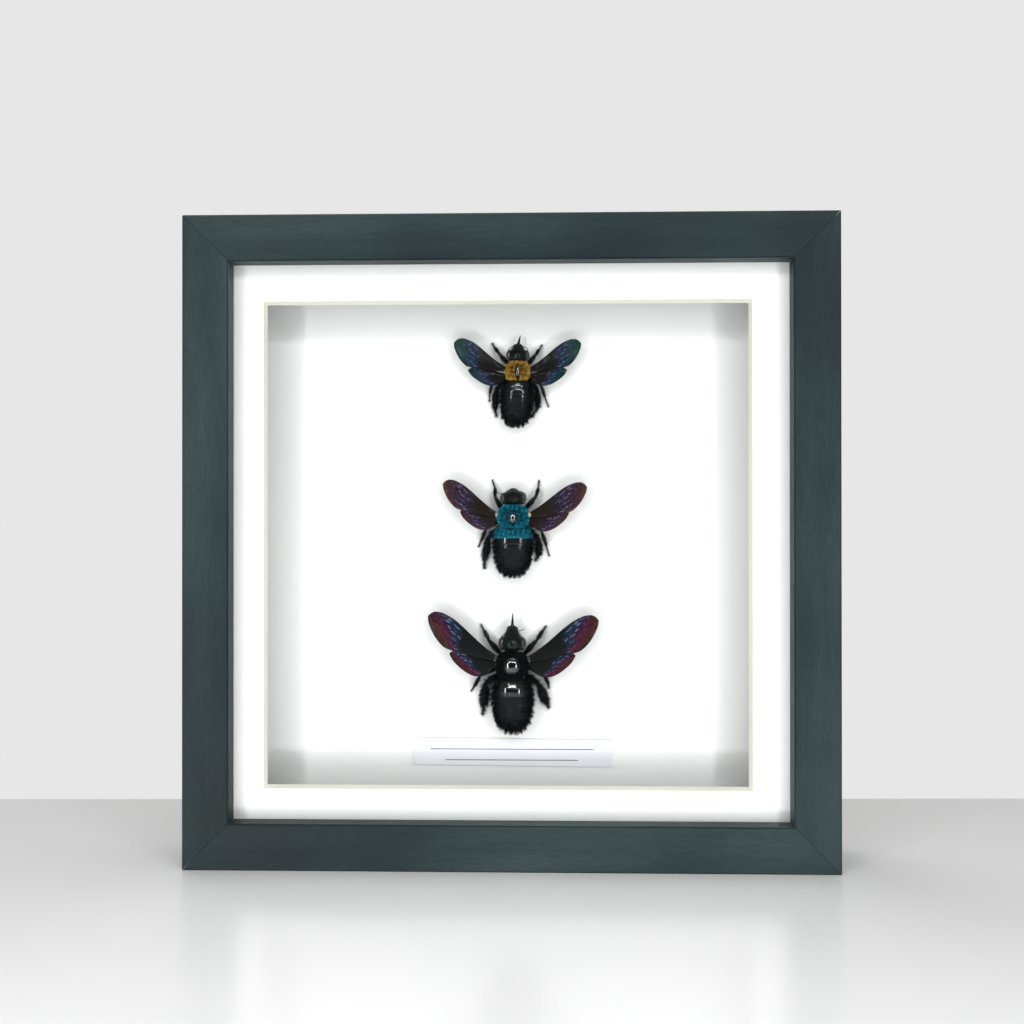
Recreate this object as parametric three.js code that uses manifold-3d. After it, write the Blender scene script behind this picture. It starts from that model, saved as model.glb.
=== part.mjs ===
// Framed carpenter bee specimen: three spread bees in a square, glazed box frame.
// Millimetres. +X is right, +Z is up, the glazed front faces -Y and the back faces +Y.
// The origin is at the middle of the underside, where the frame rests.

import * as THREE from "three";
import { mergeVertices } from "three/addons/utils/BufferGeometryUtils.js";
import Module from "manifold-3d";

const wasm = await Module();
wasm.setup();

// Frame
const FRAME_SIDE = 205;
const FRAME_DEPTH = 36;
const GAP = 0.3; // between pieces that lie against each other
const MITRE_GAP = 0.12;
const FACE_WIDTH = 14.2; // flat front of the moulding
const STEP_WIDTH = 0.4; // small step at the inner edge of the front
const STEP_DEPTH = 0.5;
const SIGHT_WIDTH = 14.85; // outer edge of the moulding to its inner edge
const LIP_DEPTH = 6; // front of the moulding to the glass
const RABBET_WIDTH = 9.85; // outer edge of the moulding to the rabbet wall
const EDGE_ROUND = 0.45;

// Stack behind the lip
const GLASS_THICK = 2;
const MAT_THICK = 1.4;
const SPACER_DEPTH = 18;
const SPACER_WIDTH = 8.6;
const BOARD_THICK = 2;
const BACK_THICK = 2.5;
const SHEET_SIDE = FRAME_SIDE - 2 * (RABBET_WIDTH + GAP);

// Mat window
const WINDOW_SIDE = 155.2; // at the mat's front face
const WINDOW_SHIFT_X = -1.1;
const WINDOW_SHIFT_Z = -0.95;
const BEVEL_WIDTH = 1.05;

// Label
const LABEL_SIZE = [66.4, 9.0, 0.25];
const LABEL_CENTRE = [-0.1, 32.3];
const LABEL_TILT = -0.5; // degrees, right end low

// Back fittings
const TAB = { width: 8, length: 15, thick: 0.6, inRail: 3, slotPlay: 0.3 };
const HANGER = { width: 44, height: 10, thick: 0.8, below: 24, teeth: 11, toothDepth: 2.6, toothPitch: 2.4 };
const SCREW = { spacing: 34, shankR: 1, headR: 2.2, headHeight: 0.8, depth: 2.8, play: 0.3, rise: 2.6 };

// Where the layers of the stack lie, front to back
const FRONT = -FRAME_DEPTH / 2;
const GLASS_Y = FRONT + LIP_DEPTH + GAP;
const MAT_Y = GLASS_Y + GLASS_THICK + GAP;
const SPACER_Y = MAT_Y + MAT_THICK + GAP;
const BOARD_Y = SPACER_Y + SPACER_DEPTH + GAP;
const BACK_Y = BOARD_Y + BOARD_THICK + GAP;
const REAR_Y = BACK_Y + BACK_THICK; // rear face of the back board
const CENTRE_Z = FRAME_SIDE / 2;

// Wing outline in shares of the wing's length: along it, and across it towards the rear edge
const FOREWING = {
  lead: [
    [0, 0], [0.13, -0.012], [0.3, -0.042], [0.48, -0.09],
    [0.66, -0.132], [0.82, -0.138], [0.95, -0.098], [1, 0],
  ],
  rear: [
    [0, 0.08], [0.2, 0.15], [0.42, 0.215], [0.55, 0.25],
    [0.65, 0.256], [0.8, 0.197], [0.94, 0.092], [1, 0.012],
  ],
};
const HINDWING = {
  lead: [
    [0, 0], [0.2, -0.03], [0.4, -0.06], [0.6, -0.085],
    [0.78, -0.09], [0.9, -0.07], [0.97, -0.03], [1, 0.02],
  ],
  rear: [
    [0.02, 0.12], [0.1, 0.25], [0.22, 0.35], [0.36, 0.39],
    [0.52, 0.37], [0.7, 0.29], [0.88, 0.17], [0.99, 0.04],
  ],
};
const WING_THICK = 0.3;
const WING_DROP = 1; // the hindwing lies this far under the forewing
const WING_STATIONS = 10;
const WING_REACH = 0.995; // share of the outline's length where the last station lies
const WING_SHARES = [0, 0.3, 0.68, 1]; // places across a station, front to rear
const WING_BOW = 0.35; // rise of the middle over the two edges
const WING_SAG = 1.2; // fall of the tip under the root

// The bees. Places are in mm from the middle of the thorax: right, up, and height off the board.
// A leg is its hip, knee, ankle and claw. Outlines are half widths at shares of the length.
// Heads, abdomens, wings and legs start inside the thorax and are cut back to clear it.
const BEES = {
  yellow_bee: {
    place: [2.05, 158.3],
    shell: 0x15191b,
    pile: 0xb58530,
    wing: 0x1c4a55,
    thorax: { from: 3.4, to: -3.7, half: 4.35, height: 5.3, rise: 4.8 },
    head: {
      outline: [[3.0, 2.3], [4.2, 3.2], [5.4, 3.45], [6.5, 3.0], [7.3, 2.2], [8.0, 1.4], [8.8, 0.8]],
      eye: [2.85, 5.2, 1.0, 1.8],
      antennae: [[[-1.5, 8.2], [-3.2, 7.3], [-3.3, 6.6]], [[2.2, 8.0], [4.0, 6.9], [3.1, 6.6]]],
      tongue: [[0, 8.6], [0.4, 10.2], [0.8, 12]],
    },
    abdomen: {
      from: -3.2, to: -17.6, lean: -0.7, height: 5, rise: 4.6,
      outline: [[0, 4.2], [0.25, 5.2], [0.5, 5.1], [0.75, 4.6], [0.92, 3.3], [1, 1.2]],
    },
    wingHeight: 6.6,
    forewings: { left: [[-3.9, 1.1], [-20.9, 9.4], 1.06], right: [[3.9, 0.8], [20.7, 9.1], 1.02] },
    hindwings: { left: [[-3.8, -0.95], [-16.4, 0.65], 0.9], right: [[3.9, -1.05], [16.2, 0.55], 0.92] },
    legWidth: 0.8,
    hindWidth: 1.35,
    legs: {
      fore_left: [[-2.6, 1.9, 2.6], [-6.3, 6.1, 3.0], [-7.6, 8.1, 1.8], [-8.4, 9.5, 0.8]],
      fore_right: [[2.6, 1.7, 2.6], [5.8, 5.5, 3.0], [6.9, 7.2, 1.8], [7.75, 8.8, 0.8]],
      mid_left: [[-2.6, -0.6, 2.6], [-8.4, -3.4, 3.6], [-9.3, -6.8, 1.8], [-9.5, -9.2, 0.75]],
      mid_right: [[2.6, -0.6, 2.6], [7.5, -4.0, 3.8], [8.9, -8.2, 1.9], [10.0, -11.2, 0.75]],
      hind_left: [[-2.6, -2.2, 2.2], [-6.9, -5.1, 2.7], [-7.8, -12.0, 1.7], [-7.2, -14.2, 0.75]],
      hind_right: [[2.6, -2.2, 2.2], [6.4, -5.9, 2.6], [6.6, -11.6, 1.7], [4.7, -14.4, 0.75]],
    },
  },
  blue_bee: {
    place: [0.55, 110.7],
    shell: 0x17201f,
    pile: 0x16617f,
    wing: 0x4a3450,
    thorax: { from: 3.9, to: -4.4, half: 5.6, height: 6, rise: 5.5 },
    head: {
      outline: [[3.5, 2.6], [4.7, 3.65], [5.7, 3.95], [6.8, 3.6], [7.8, 2.7], [8.4, 1.6], [8.75, 0.7]],
      eye: [3.2, 5.7, 1.2, 1.9],
      antennae: [[[-2.6, 7.6], [-4.6, 7.0], [-5.0, 7.8]], [[2.2, 8.0], [3.6, 7.7], [4.2, 7.0]]],
      tongue: null,
    },
    abdomen: {
      from: -3.9, to: -19.5, lean: -0.2, height: 5.8, rise: 5.3,
      outline: [[0, 5.7], [0.18, 6.5], [0.45, 6.3], [0.7, 5.7], [0.9, 4.1], [1, 1.5]],
    },
    wingHeight: 7.4,
    forewings: { left: [[-5.1, 0.95], [-23.0, 10.7], 0.97], right: [[5.1, 0.9], [24.1, 9.6], 0.97] },
    hindwings: { left: [[-5.0, -0.65], [-17.5, 1.6], 0.97], right: [[5.0, -0.75], [18.3, 1.1], 0.97] },
    legWidth: 0.9,
    hindWidth: 1.5,
    legs: {
      fore_left: [[-3.5, 1.8, 2.6], [-6.1, 6.3, 3.2], [-6.1, 9.0, 2.0], [-7.0, 11.6, 0.8]],
      fore_right: [[3.5, 1.8, 2.6], [7.4, 6.3, 3.2], [8.2, 8.9, 2.0], [8.4, 11.4, 0.8]],
      mid_left: [[-3.8, -0.8, 2.6], [-8.9, -4.0, 3.8], [-10.6, -8.0, 1.8], [-11.6, -10.0, 0.75]],
      mid_right: [[3.8, -0.8, 2.6], [9.1, -4.5, 3.9], [10.8, -9.6, 1.9], [11.7, -13.0, 0.75]],
      hind_left: [[-3.4, -2.9, 2.2], [-8.3, -6.9, 2.8], [-9.6, -14.5, 1.8], [-9.8, -16.9, 0.75]],
      hind_right: [[3.4, -2.9, 2.2], [8.3, -7.6, 2.7], [8.4, -12.9, 1.8], [7.4, -14.5, 0.75]],
    },
  },
  black_bee: {
    place: [0.2, 62.6],
    shell: 0x14191a,
    pile: 0x181c1f,
    wing: 0x40213f,
    thorax: { from: 4.25, to: -5.7, half: 5.9, height: 6.5, rise: 6 },
    head: {
      outline: [
        [3.8, 2.7], [4.9, 3.8], [6.1, 4.15], [7.6, 3.8],
        [9.0, 2.8], [10.2, 2.2], [11.2, 1.7], [11.7, 0.9],
      ],
      eye: [3.3, 6.3, 1.25, 2.3],
      antennae: [[[-1.9, 9.9], [-3.4, 8.9], [-3.9, 8.0]], [[1.9, 10.5], [3.2, 10.5], [3.9, 11.1]]],
      tongue: [[0, 11.3], [0.05, 13.6], [0.1, 16.1]],
    },
    abdomen: {
      from: -5.1, to: -22.4, lean: 0.15, height: 6, rise: 5.6,
      outline: [[0, 4.9], [0.2, 6.2], [0.5, 6.4], [0.75, 5.6], [0.92, 3.7], [1, 1.2]],
    },
    wingHeight: 7.9,
    forewings: { left: [[-5.1, 2.4], [-27.5, 15.4], 0.93], right: [[5.2, 2.15], [28.2, 14.2], 0.93] },
    hindwings: { left: [[-5.3, 0.4], [-20.6, 3.2], 0.97], right: [[5.4, 0.25], [20.7, 2.6], 0.97] },
    legWidth: 1.05,
    hindWidth: 1.9,
    legs: {
      fore_left: [[-3.8, 2.5, 2.8], [-7.7, 7.0, 3.4], [-9.3, 9.9, 2.0], [-10.4, 11.8, 0.85]],
      fore_right: [[3.8, 2.5, 2.8], [7.9, 7.0, 3.4], [9.8, 9.9, 2.0], [11.0, 11.4, 0.85]],
      mid_left: [[-4.0, -1.2, 2.7], [-10.4, -4.3, 3.8], [-12.5, -8.1, 1.9], [-13.7, -9.9, 0.8]],
      mid_right: [[4.0, -1.2, 2.7], [10.2, -3.6, 3.8], [11.8, -7.2, 1.9], [12.0, -8.9, 0.8]],
      hind_left: [[-3.6, -3.8, 2.4], [-8.9, -6.9, 3.2], [-9.6, -14.8, 2.1], [-9.9, -17.3, 0.8]],
      hind_right: [[3.6, -3.8, 2.4], [8.6, -7.3, 3.2], [11.2, -13.6, 2.1], [11.9, -15.2, 0.8]],
    },
  },
};
const RING_SIDES = 16;
const BELLY = GAP; // lowest height of a body off the board
const BELLY_CURVE = 0.1; // rise of the flat belly at its sides
const THORAX = { rings: 9, end: 0.02, square: 2.6 };
const PLATES = { count: 6, step: 0.25, edge: 0.9 }; // plates along the abdomen, each standing over the next
const ABDOMEN_FALL = { along: 1.2, tip: 1.6 }; // how far its axis sinks towards the tip
const HEAD = { sides: 14, below: 0.6, dip: 0.12, rise: 0.86 };
const EYE = { below: 0.7, round: 1.2, sides: 8, rows: 6 };
const ANTENNA = {
  lift: 0.2,
  drops: { root: 0.8, elbow: 0.5, tip: 1.1 },
  rootShare: 0.7,
  rootBack: 0.6,
  radii: [0.22, 0.2, 0.22, 0.2],
  sides: 5,
};
const TONGUE = { below: 1.6, dip: 0.5, radii: [0.75, 0.42, 0.22], sides: 6 };
const LEG_SIDES = 5;

// Stops along a leg: the joint it follows, the share of the way to the next, and the radius
// as a share of the leg's width, or of its shin's.
const LEG_STOPS = [
  { joint: 0, share: 0, radius: 0.5 },
  { joint: 0, share: 0.45, radius: 0.95 },
  { joint: 0, share: 0.85, radius: 0.7 },
  { joint: 1, share: 0, radius: 0.58 },
  { joint: 1, share: 0.3, radius: 0.85, shin: true },
  { joint: 1, share: 0.7, radius: 1, shin: true },
  { joint: 2, share: 0, radius: 0.5 },
  { joint: 2, share: 0.5, radius: 0.34 },
  { joint: 2, share: 0.85, radius: 0.27 },
  { joint: 2, share: 1, radius: 0.42 },
];

const material = (color, roughness, metalness = 0) =>
  new THREE.MeshStandardMaterial({ color, roughness, metalness });

const part = new THREE.Group();

const addMesh = (parent, name, geometry, look) => {
  geometry.computeVertexNormals();
  const mesh = new THREE.Mesh(geometry, look);
  mesh.name = name;
  parent.add(mesh);
  return mesh;
};

// Volume inside a closed triangle mesh, negative when its faces point inwards.
function signedVolume(points, faces) {
  let sum = 0;
  for (const [a, b, c] of faces) sum += points[a].dot(points[b].clone().cross(points[c]));
  return sum / 6;
}

// A geometry from points and triangles, with its faces turned outwards.
function closedGeometry(points, faces) {
  const outward = signedVolume(points, faces) > 0 ? faces : faces.map(([a, b, c]) => [a, c, b]);
  const geometry = new THREE.BufferGeometry().setFromPoints(points);
  geometry.setIndex(outward.flat());
  return geometry;
}

// A skin over rings of equal point counts, with caps given as triangles on a ring's own indices.
function skin(rings, cap) {
  const count = rings[0].length;
  const points = rings.flat();
  const faces = [];
  for (let r = 0; r + 1 < rings.length; r++)
    for (let i = 0; i < count; i++) {
      const j = (i + 1) % count;
      const [a, b] = [r * count + i, r * count + j];
      faces.push([a, b, b + count], [a, b + count, a + count]);
    }
  const last = (rings.length - 1) * count;
  for (const [a, b, c] of cap) {
    faces.push([a, c, b]);
    faces.push([last + a, last + b, last + c]);
  }
  return closedGeometry(points, faces);
}

// Caps for round rings: a fan from the ring's first point.
const fanCap = (count) => Array.from({ length: count - 2 }, (_, i) => [0, i + 1, i + 2]);

// Caps for a ring that follows a flat outline with hollows, wound the same way as the outline.
function outlineCap(outline) {
  const points = outline.map(([x, y]) => new THREE.Vector2(x, y));
  const faces = THREE.ShapeUtils.triangulateShape(points, []);
  const turn = THREE.ShapeUtils.area(points);
  return faces.map(([a, b, c]) =>
    THREE.ShapeUtils.area([points[a], points[b], points[c]]) * turn > 0 ? [a, b, c] : [a, c, b]);
}

function solidOf(geometry) {
  const bare = geometry.clone();
  bare.deleteAttribute("normal");
  bare.deleteAttribute("uv");
  const merged = mergeVertices(bare, 1e-4);
  return new wasm.Manifold(
    new wasm.Mesh({
      numProp: 3,
      vertProperties: new Float32Array(merged.attributes.position.array),
      triVerts: new Uint32Array(merged.index.array),
    }),
  );
}

function geometryOf(solid) {
  const mesh = solid.getMesh();
  const geometry = new THREE.BufferGeometry();
  geometry.setAttribute("position", new THREE.BufferAttribute(new Float32Array(mesh.vertProperties), 3));
  geometry.setIndex(new THREE.BufferAttribute(new Uint32Array(mesh.triVerts), 1));
  return geometry;
}

const cut = (geometry, ...tools) =>
  geometryOf(tools.reduce((left, tool) => left.subtract(solidOf(tool)), solidOf(geometry)));

const join = (...geometries) =>
  geometryOf(geometries.map(solidOf).reduce((sum, next) => sum.add(next)));

// A box given by its middle in x and z, its front face in y, and its size.
const sheet = (x, frontY, z, width, thick, height) =>
  new THREE.BoxGeometry(width, thick, height).translate(x, frontY + thick / 2, z);

// One length of moulding along the bottom of the frame, mitred at both ends.
function mouldingGeometry() {
  const outline = [
    [0, FRONT + EDGE_ROUND],
    [EDGE_ROUND, FRONT],
    [FACE_WIDTH, FRONT],
    [FACE_WIDTH, FRONT + STEP_DEPTH],
    [FACE_WIDTH + STEP_WIDTH, FRONT + STEP_DEPTH],
    [SIGHT_WIDTH, FRONT + LIP_DEPTH],
    [RABBET_WIDTH, FRONT + LIP_DEPTH],
    [RABBET_WIDTH, -FRONT],
    [EDGE_ROUND, -FRONT],
    [0, -FRONT - EDGE_ROUND],
  ];
  const end = (side) =>
    outline.map(([inward, y]) =>
      new THREE.Vector3(side * (FRAME_SIDE / 2 - inward - MITRE_GAP / 2), y, inward - CENTRE_Z));
  const length = skin([end(-1), end(1)], outlineCap(outline));
  const slot = sheet(
    0,
    REAR_Y + GAP - TAB.slotPlay,
    RABBET_WIDTH - TAB.inRail / 2 - CENTRE_Z,
    TAB.width + 2 * TAB.slotPlay,
    TAB.thick + 2 * TAB.slotPlay,
    TAB.inRail + 2 * TAB.slotPlay,
  );
  return cut(length, slot);
}

// The four sides of the frame and the tab that each one holds, turned about the frame's middle.
function addFrame() {
  const wood = material(0x2b3639, 0.5);
  const steel = material(0x8d8f8e, 0.4, 0.9);
  const sides = { bottom: 0, right: -90, top: 180, left: 90 };
  const names = {
    bottom: "frame_rail_bottom", right: "frame_stile_right", top: "frame_rail_top", left: "frame_stile_left",
  };
  for (const [side, degrees] of Object.entries(sides)) {
    const turned = new THREE.Group();
    turned.position.z = CENTRE_Z;
    turned.rotation.y = THREE.MathUtils.degToRad(degrees);
    part.add(turned);
    addMesh(turned, names[side], mouldingGeometry(), wood);
    const tabZ = RABBET_WIDTH - TAB.inRail + TAB.length / 2 - CENTRE_Z;
    const tab = sheet(0, REAR_Y + GAP, tabZ, TAB.width, TAB.thick, TAB.length);
    addMesh(turned, "back_tab_" + side, tab, steel);
  }
}

// A four-sided frustum between two square windows, used to cut the mat's bevel.
function windowCutter(frontHalf, rearHalf, frontY, rearY) {
  const corners = [[-1, -1], [1, -1], [1, 1], [-1, 1]];
  const ring = (half, y) =>
    corners.map(([sx, sz]) =>
      new THREE.Vector3(WINDOW_SHIFT_X + sx * half, y, CENTRE_Z + WINDOW_SHIFT_Z + sz * half));
  return skin([ring(frontHalf, frontY), ring(rearHalf, rearY)], fanCap(4));
}

function addStack() {
  const white = material(0xf2f2ee, 0.9);
  const glass = sheet(0, GLASS_Y, CENTRE_Z, SHEET_SIDE, GLASS_THICK, SHEET_SIDE);
  addMesh(part, "glass_pane", glass, material(0xdfe8e6, 0.05));

  const slope = BEVEL_WIDTH / MAT_THICK;
  const past = 1; // how far the cutter runs past both faces
  const half = WINDOW_SIDE / 2;
  const cutter = windowCutter(
    half + slope * past, half - BEVEL_WIDTH - slope * past, MAT_Y - past, MAT_Y + MAT_THICK + past);
  const matBlank = sheet(0, MAT_Y, CENTRE_Z, SHEET_SIDE, MAT_THICK, SHEET_SIDE);
  addMesh(part, "mat", cut(matBlank, cutter), white);

  const reach = (SHEET_SIDE - SPACER_WIDTH) / 2;
  const between = SHEET_SIDE - 2 * (SPACER_WIDTH + GAP);
  for (const [name, sign] of [["bottom", -1], ["top", 1]])
    addMesh(part, "spacer_" + name,
      sheet(0, SPACER_Y, CENTRE_Z + sign * reach, SHEET_SIDE, SPACER_DEPTH, SPACER_WIDTH), white);
  for (const [name, sign] of [["left", -1], ["right", 1]])
    addMesh(part, "spacer_" + name,
      sheet(sign * reach, SPACER_Y, CENTRE_Z, SPACER_WIDTH, SPACER_DEPTH, between), white);

  addMesh(part, "display_board", sheet(0, BOARD_Y, CENTRE_Z, SHEET_SIDE, BOARD_THICK, SHEET_SIDE), white);

  const [labelWidth, labelHeight, labelThick] = LABEL_SIZE;
  const paper = new THREE.BoxGeometry(labelWidth, labelThick, labelHeight);
  const label = addMesh(part, "label", paper, material(0xe9edf2, 0.8));
  label.position.set(LABEL_CENTRE[0], BOARD_Y - GAP - labelThick / 2, LABEL_CENTRE[1]);
  label.rotation.y = THREE.MathUtils.degToRad(-LABEL_TILT);
}

// A round bar along Y from one depth to another.
const BAR_SIDES = 12;
const barAlongY = (x, z, radius, fromY, toY) =>
  new THREE.CylinderGeometry(radius, radius, toY - fromY, BAR_SIDES).translate(x, (fromY + toY) / 2, z);

function addBack() {
  const steel = material(0x8d8f8e, 0.4, 0.9);
  const plateY = REAR_Y + GAP;
  const plateTop = FRAME_SIDE - RABBET_WIDTH - HANGER.below;
  const plateZ = plateTop - HANGER.height / 2;
  const screwZ = plateTop - SCREW.rise;
  const headY = plateY + HANGER.thick + GAP;
  const past = 1; // how far the drill runs past both faces
  const holes = [-1, 1].map((side) =>
    barAlongY((side * SCREW.spacing) / 2, screwZ, SCREW.shankR + SCREW.play, BACK_Y - past, headY + past));

  addMesh(part, "back_board",
    cut(sheet(0, BACK_Y, CENTRE_Z, SHEET_SIDE, BACK_THICK, SHEET_SIDE), ...holes), material(0x8f6b47, 0.85));

  const plateBottom = plateTop - HANGER.height;
  const edge = [];
  for (let i = 0; i < HANGER.teeth; i++) {
    const x = (i - (HANGER.teeth - 1) / 2) * HANGER.toothPitch;
    edge.push([x - HANGER.toothPitch / 2, plateBottom], [x, plateBottom + HANGER.toothDepth]);
  }
  edge.push([(HANGER.teeth / 2) * HANGER.toothPitch, plateBottom]);
  const half = HANGER.width / 2;
  const plateOutline = [
    [-half, plateBottom + HANGER.toothDepth],
    [-half, plateTop],
    [half, plateTop],
    [half, plateBottom + HANGER.toothDepth],
    ...edge.reverse(),
  ];
  const face = (y) => plateOutline.map(([x, z]) => new THREE.Vector3(x, y, z));
  const plate = skin([face(plateY), face(plateY + HANGER.thick)], outlineCap(plateOutline));
  addMesh(part, "sawtooth_hanger", cut(plate, ...holes), steel);

  for (const [name, side] of [["left", -1], ["right", 1]]) {
    const x = (side * SCREW.spacing) / 2;
    const shank = barAlongY(x, screwZ, SCREW.shankR, headY - SCREW.depth, headY + SCREW.headHeight / 2);
    const head = barAlongY(x, screwZ, SCREW.headR, headY, headY + SCREW.headHeight);
    addMesh(part, "hanger_screw_" + name, join(shank, head), steel);
  }
}

// A point of a bee: x across, z along the body, height off the board.
const spot = (x, z, height) => new THREE.Vector3(x, -height, z);

const smoothShare = (points) => {
  const curve = new THREE.SplineCurve(points.map(([x, y]) => new THREE.Vector2(x, y)));
  return (share) => curve.getPoint(share);
};

// Half width at a share of the length, from an outline of [share, half width].
function widthAlong(outline, share) {
  const next = Math.max(1, outline.findIndex(([at]) => at >= share));
  const [fromAt, fromWidth] = outline[next - 1];
  const [toAt, toWidth] = outline[next];
  const step = (share - fromAt) / (toAt - fromAt);
  return fromWidth + (toWidth - fromWidth) * step;
}

// An oval ring round the body's axis, flat where it lies on the board.
function bodyRing(x, z, halfWidth, height, rise, sides = RING_SIDES) {
  return Array.from({ length: sides }, (_, i) => {
    const angle = (2 * Math.PI * (i + 0.5)) / sides;
    return spot(
      x + halfWidth * Math.cos(angle),
      z,
      Math.max(BELLY + BELLY_CURVE * Math.abs(Math.cos(angle)), height + rise * Math.sin(angle)),
    );
  });
}

function thoraxGeometry({ from, to, half, height, rise }) {
  const rings = [];
  for (let i = 0; i < THORAX.rings; i++) {
    const share = THORAX.end + ((1 - 2 * THORAX.end) * i) / (THORAX.rings - 1);
    const round = (1 - Math.abs(2 * share - 1) ** THORAX.square) ** (1 / THORAX.square);
    rings.push(bodyRing(0, from + (to - from) * share, half * round, height, rise * round));
  }
  return skin(rings, fanCap(RING_SIDES));
}

// A thorax or abdomen larger all round by the gap, to cut its neighbours with.
function grown(form) {
  const bigger = { ...form, from: form.from + GAP, to: form.to - GAP, rise: form.rise + GAP };
  if (form.half) bigger.half = form.half + GAP;
  if (form.outline) bigger.outline = form.outline.map(([share, width]) => [share, width + GAP]);
  return bigger;
}

function abdomenGeometry({ from, to, lean, height, rise, outline }) {
  const widest = Math.max(...outline.map(([, width]) => width));
  const rings = [];
  for (let plate = 0; plate < PLATES.count; plate++)
    for (const [edge, step] of [[0, -PLATES.step / 2], [PLATES.edge, PLATES.step / 2]]) {
      const share = (plate + edge) / PLATES.count;
      const width = widthAlong(outline, share) + step;
      const z = from + (to - from) * share;
      const middle = height - ABDOMEN_FALL.along * share;
      rings.push(bodyRing(lean * share, z, width, middle, (rise * width) / widest));
    }
  const tip = outline[outline.length - 1][1];
  rings.push(bodyRing(lean, to, tip, height - ABDOMEN_FALL.tip, (rise * tip) / widest));
  return skin(rings, fanCap(RING_SIDES));
}

// A tapered tube through points, with a radius at each.
function tube(points, radii, sides) {
  const rings = points.map((point, i) => {
    const before = points[Math.max(0, i - 1)];
    const after = points[Math.min(points.length - 1, i + 1)];
    const along = after.clone().sub(before).normalize();
    const side = new THREE.Vector3(0, -1, 0).cross(along).normalize();
    const up = along.clone().cross(side);
    return Array.from({ length: sides }, (_, k) => {
      const angle = (2 * Math.PI * k) / sides;
      return point.clone()
        .addScaledVector(side, radii[i] * Math.cos(angle))
        .addScaledVector(up, radii[i] * Math.sin(angle));
    });
  });
  return skin(rings, fanCap(sides));
}

// An eye: a round lump, longer along the body than across it.
const eyeGeometry = (x, z, height, radius, length) =>
  new THREE.SphereGeometry(1, EYE.sides, EYE.rows)
    .scale(radius, radius * EYE.round, length)
    .translate(x, -height, z);

function headGeometry(head, bodyHeight) {
  const rings = head.outline.map(([z, width], i) =>
    bodyRing(0, z, width, bodyHeight - HEAD.below - HEAD.dip * i, width * HEAD.rise, HEAD.sides));
  const pieces = [skin(rings, fanCap(HEAD.sides))];
  const [eyeX, eyeZ, eyeRadius, eyeLength] = head.eye;
  for (const side of [-1, 1])
    pieces.push(eyeGeometry(side * eyeX, eyeZ, bodyHeight - EYE.below, eyeRadius, eyeLength));
  const faceHeight = bodyHeight + ANTENNA.lift;
  const { drops } = ANTENNA;
  for (const [base, elbow, tip] of head.antennae) {
    const points = [
      spot(base[0] * ANTENNA.rootShare, base[1] - ANTENNA.rootBack, faceHeight - drops.root),
      spot(...base, faceHeight),
      spot(...elbow, faceHeight - drops.elbow),
      spot(...tip, faceHeight - drops.tip),
    ];
    pieces.push(tube(points, ANTENNA.radii, ANTENNA.sides));
  }
  if (head.tongue) {
    const points = head.tongue.map(([x, z], i) => spot(x, z, bodyHeight - TONGUE.below - TONGUE.dip * i));
    pieces.push(tube(points, TONGUE.radii, TONGUE.sides));
  }
  return join(...pieces);
}

// A leg as one tapering piece: thigh, shin and foot, with a splayed claw end.
function legGeometry(joints, width, shinWidth) {
  const points = LEG_STOPS.map(({ joint, share }) =>
    spot(...joints[joint]).lerp(spot(...joints[joint + 1]), share));
  const radii = LEG_STOPS.map(({ radius, shin }) => radius * (shin ? shinWidth : width));
  return tube(points, radii, LEG_SIDES);
}

// A thin bowed plate between its leading and rear edges.
function wingGeometry(shape, [root, tip, chord], height, side) {
  const along = new THREE.Vector2(tip[0] - root[0], tip[1] - root[1]);
  const length = along.length();
  along.normalize();
  const across = new THREE.Vector2(side * along.y, -side * along.x);
  const lead = smoothShare(shape.lead);
  const rear = smoothShare(shape.rear);
  const rings = [];
  for (let i = 0; i < WING_STATIONS; i++) {
    const station = (WING_REACH * i) / (WING_STATIONS - 1);
    const edges = [lead(station), rear(station)];
    const at = (share, lift) => {
      const s = edges[0].x + (edges[1].x - edges[0].x) * share;
      const n = (edges[0].y + (edges[1].y - edges[0].y) * share) * chord;
      const bow = WING_BOW * Math.sin(Math.PI * share) - WING_SAG * s * s;
      return spot(
        root[0] + length * (s * along.x + n * across.x),
        root[1] + length * (s * along.y + n * across.y),
        height + bow + lift,
      );
    };
    const upper = WING_SHARES.map((share) => at(share, WING_THICK / 2));
    const lower = WING_SHARES.map((share) => at(share, -WING_THICK / 2)).reverse();
    rings.push([...upper, ...lower]);
  }
  // the caps are triangulated on a flat bowed outline with the same order of points as a ring
  const arch = (share, lift) => [share, WING_BOW * Math.sin(Math.PI * share) + lift];
  const capUpper = WING_SHARES.map((share) => arch(share, WING_THICK / 2));
  const capLower = WING_SHARES.map((share) => arch(share, -WING_THICK / 2)).reverse();
  return skin(rings, outlineCap([...capUpper, ...capLower]));
}

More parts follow.
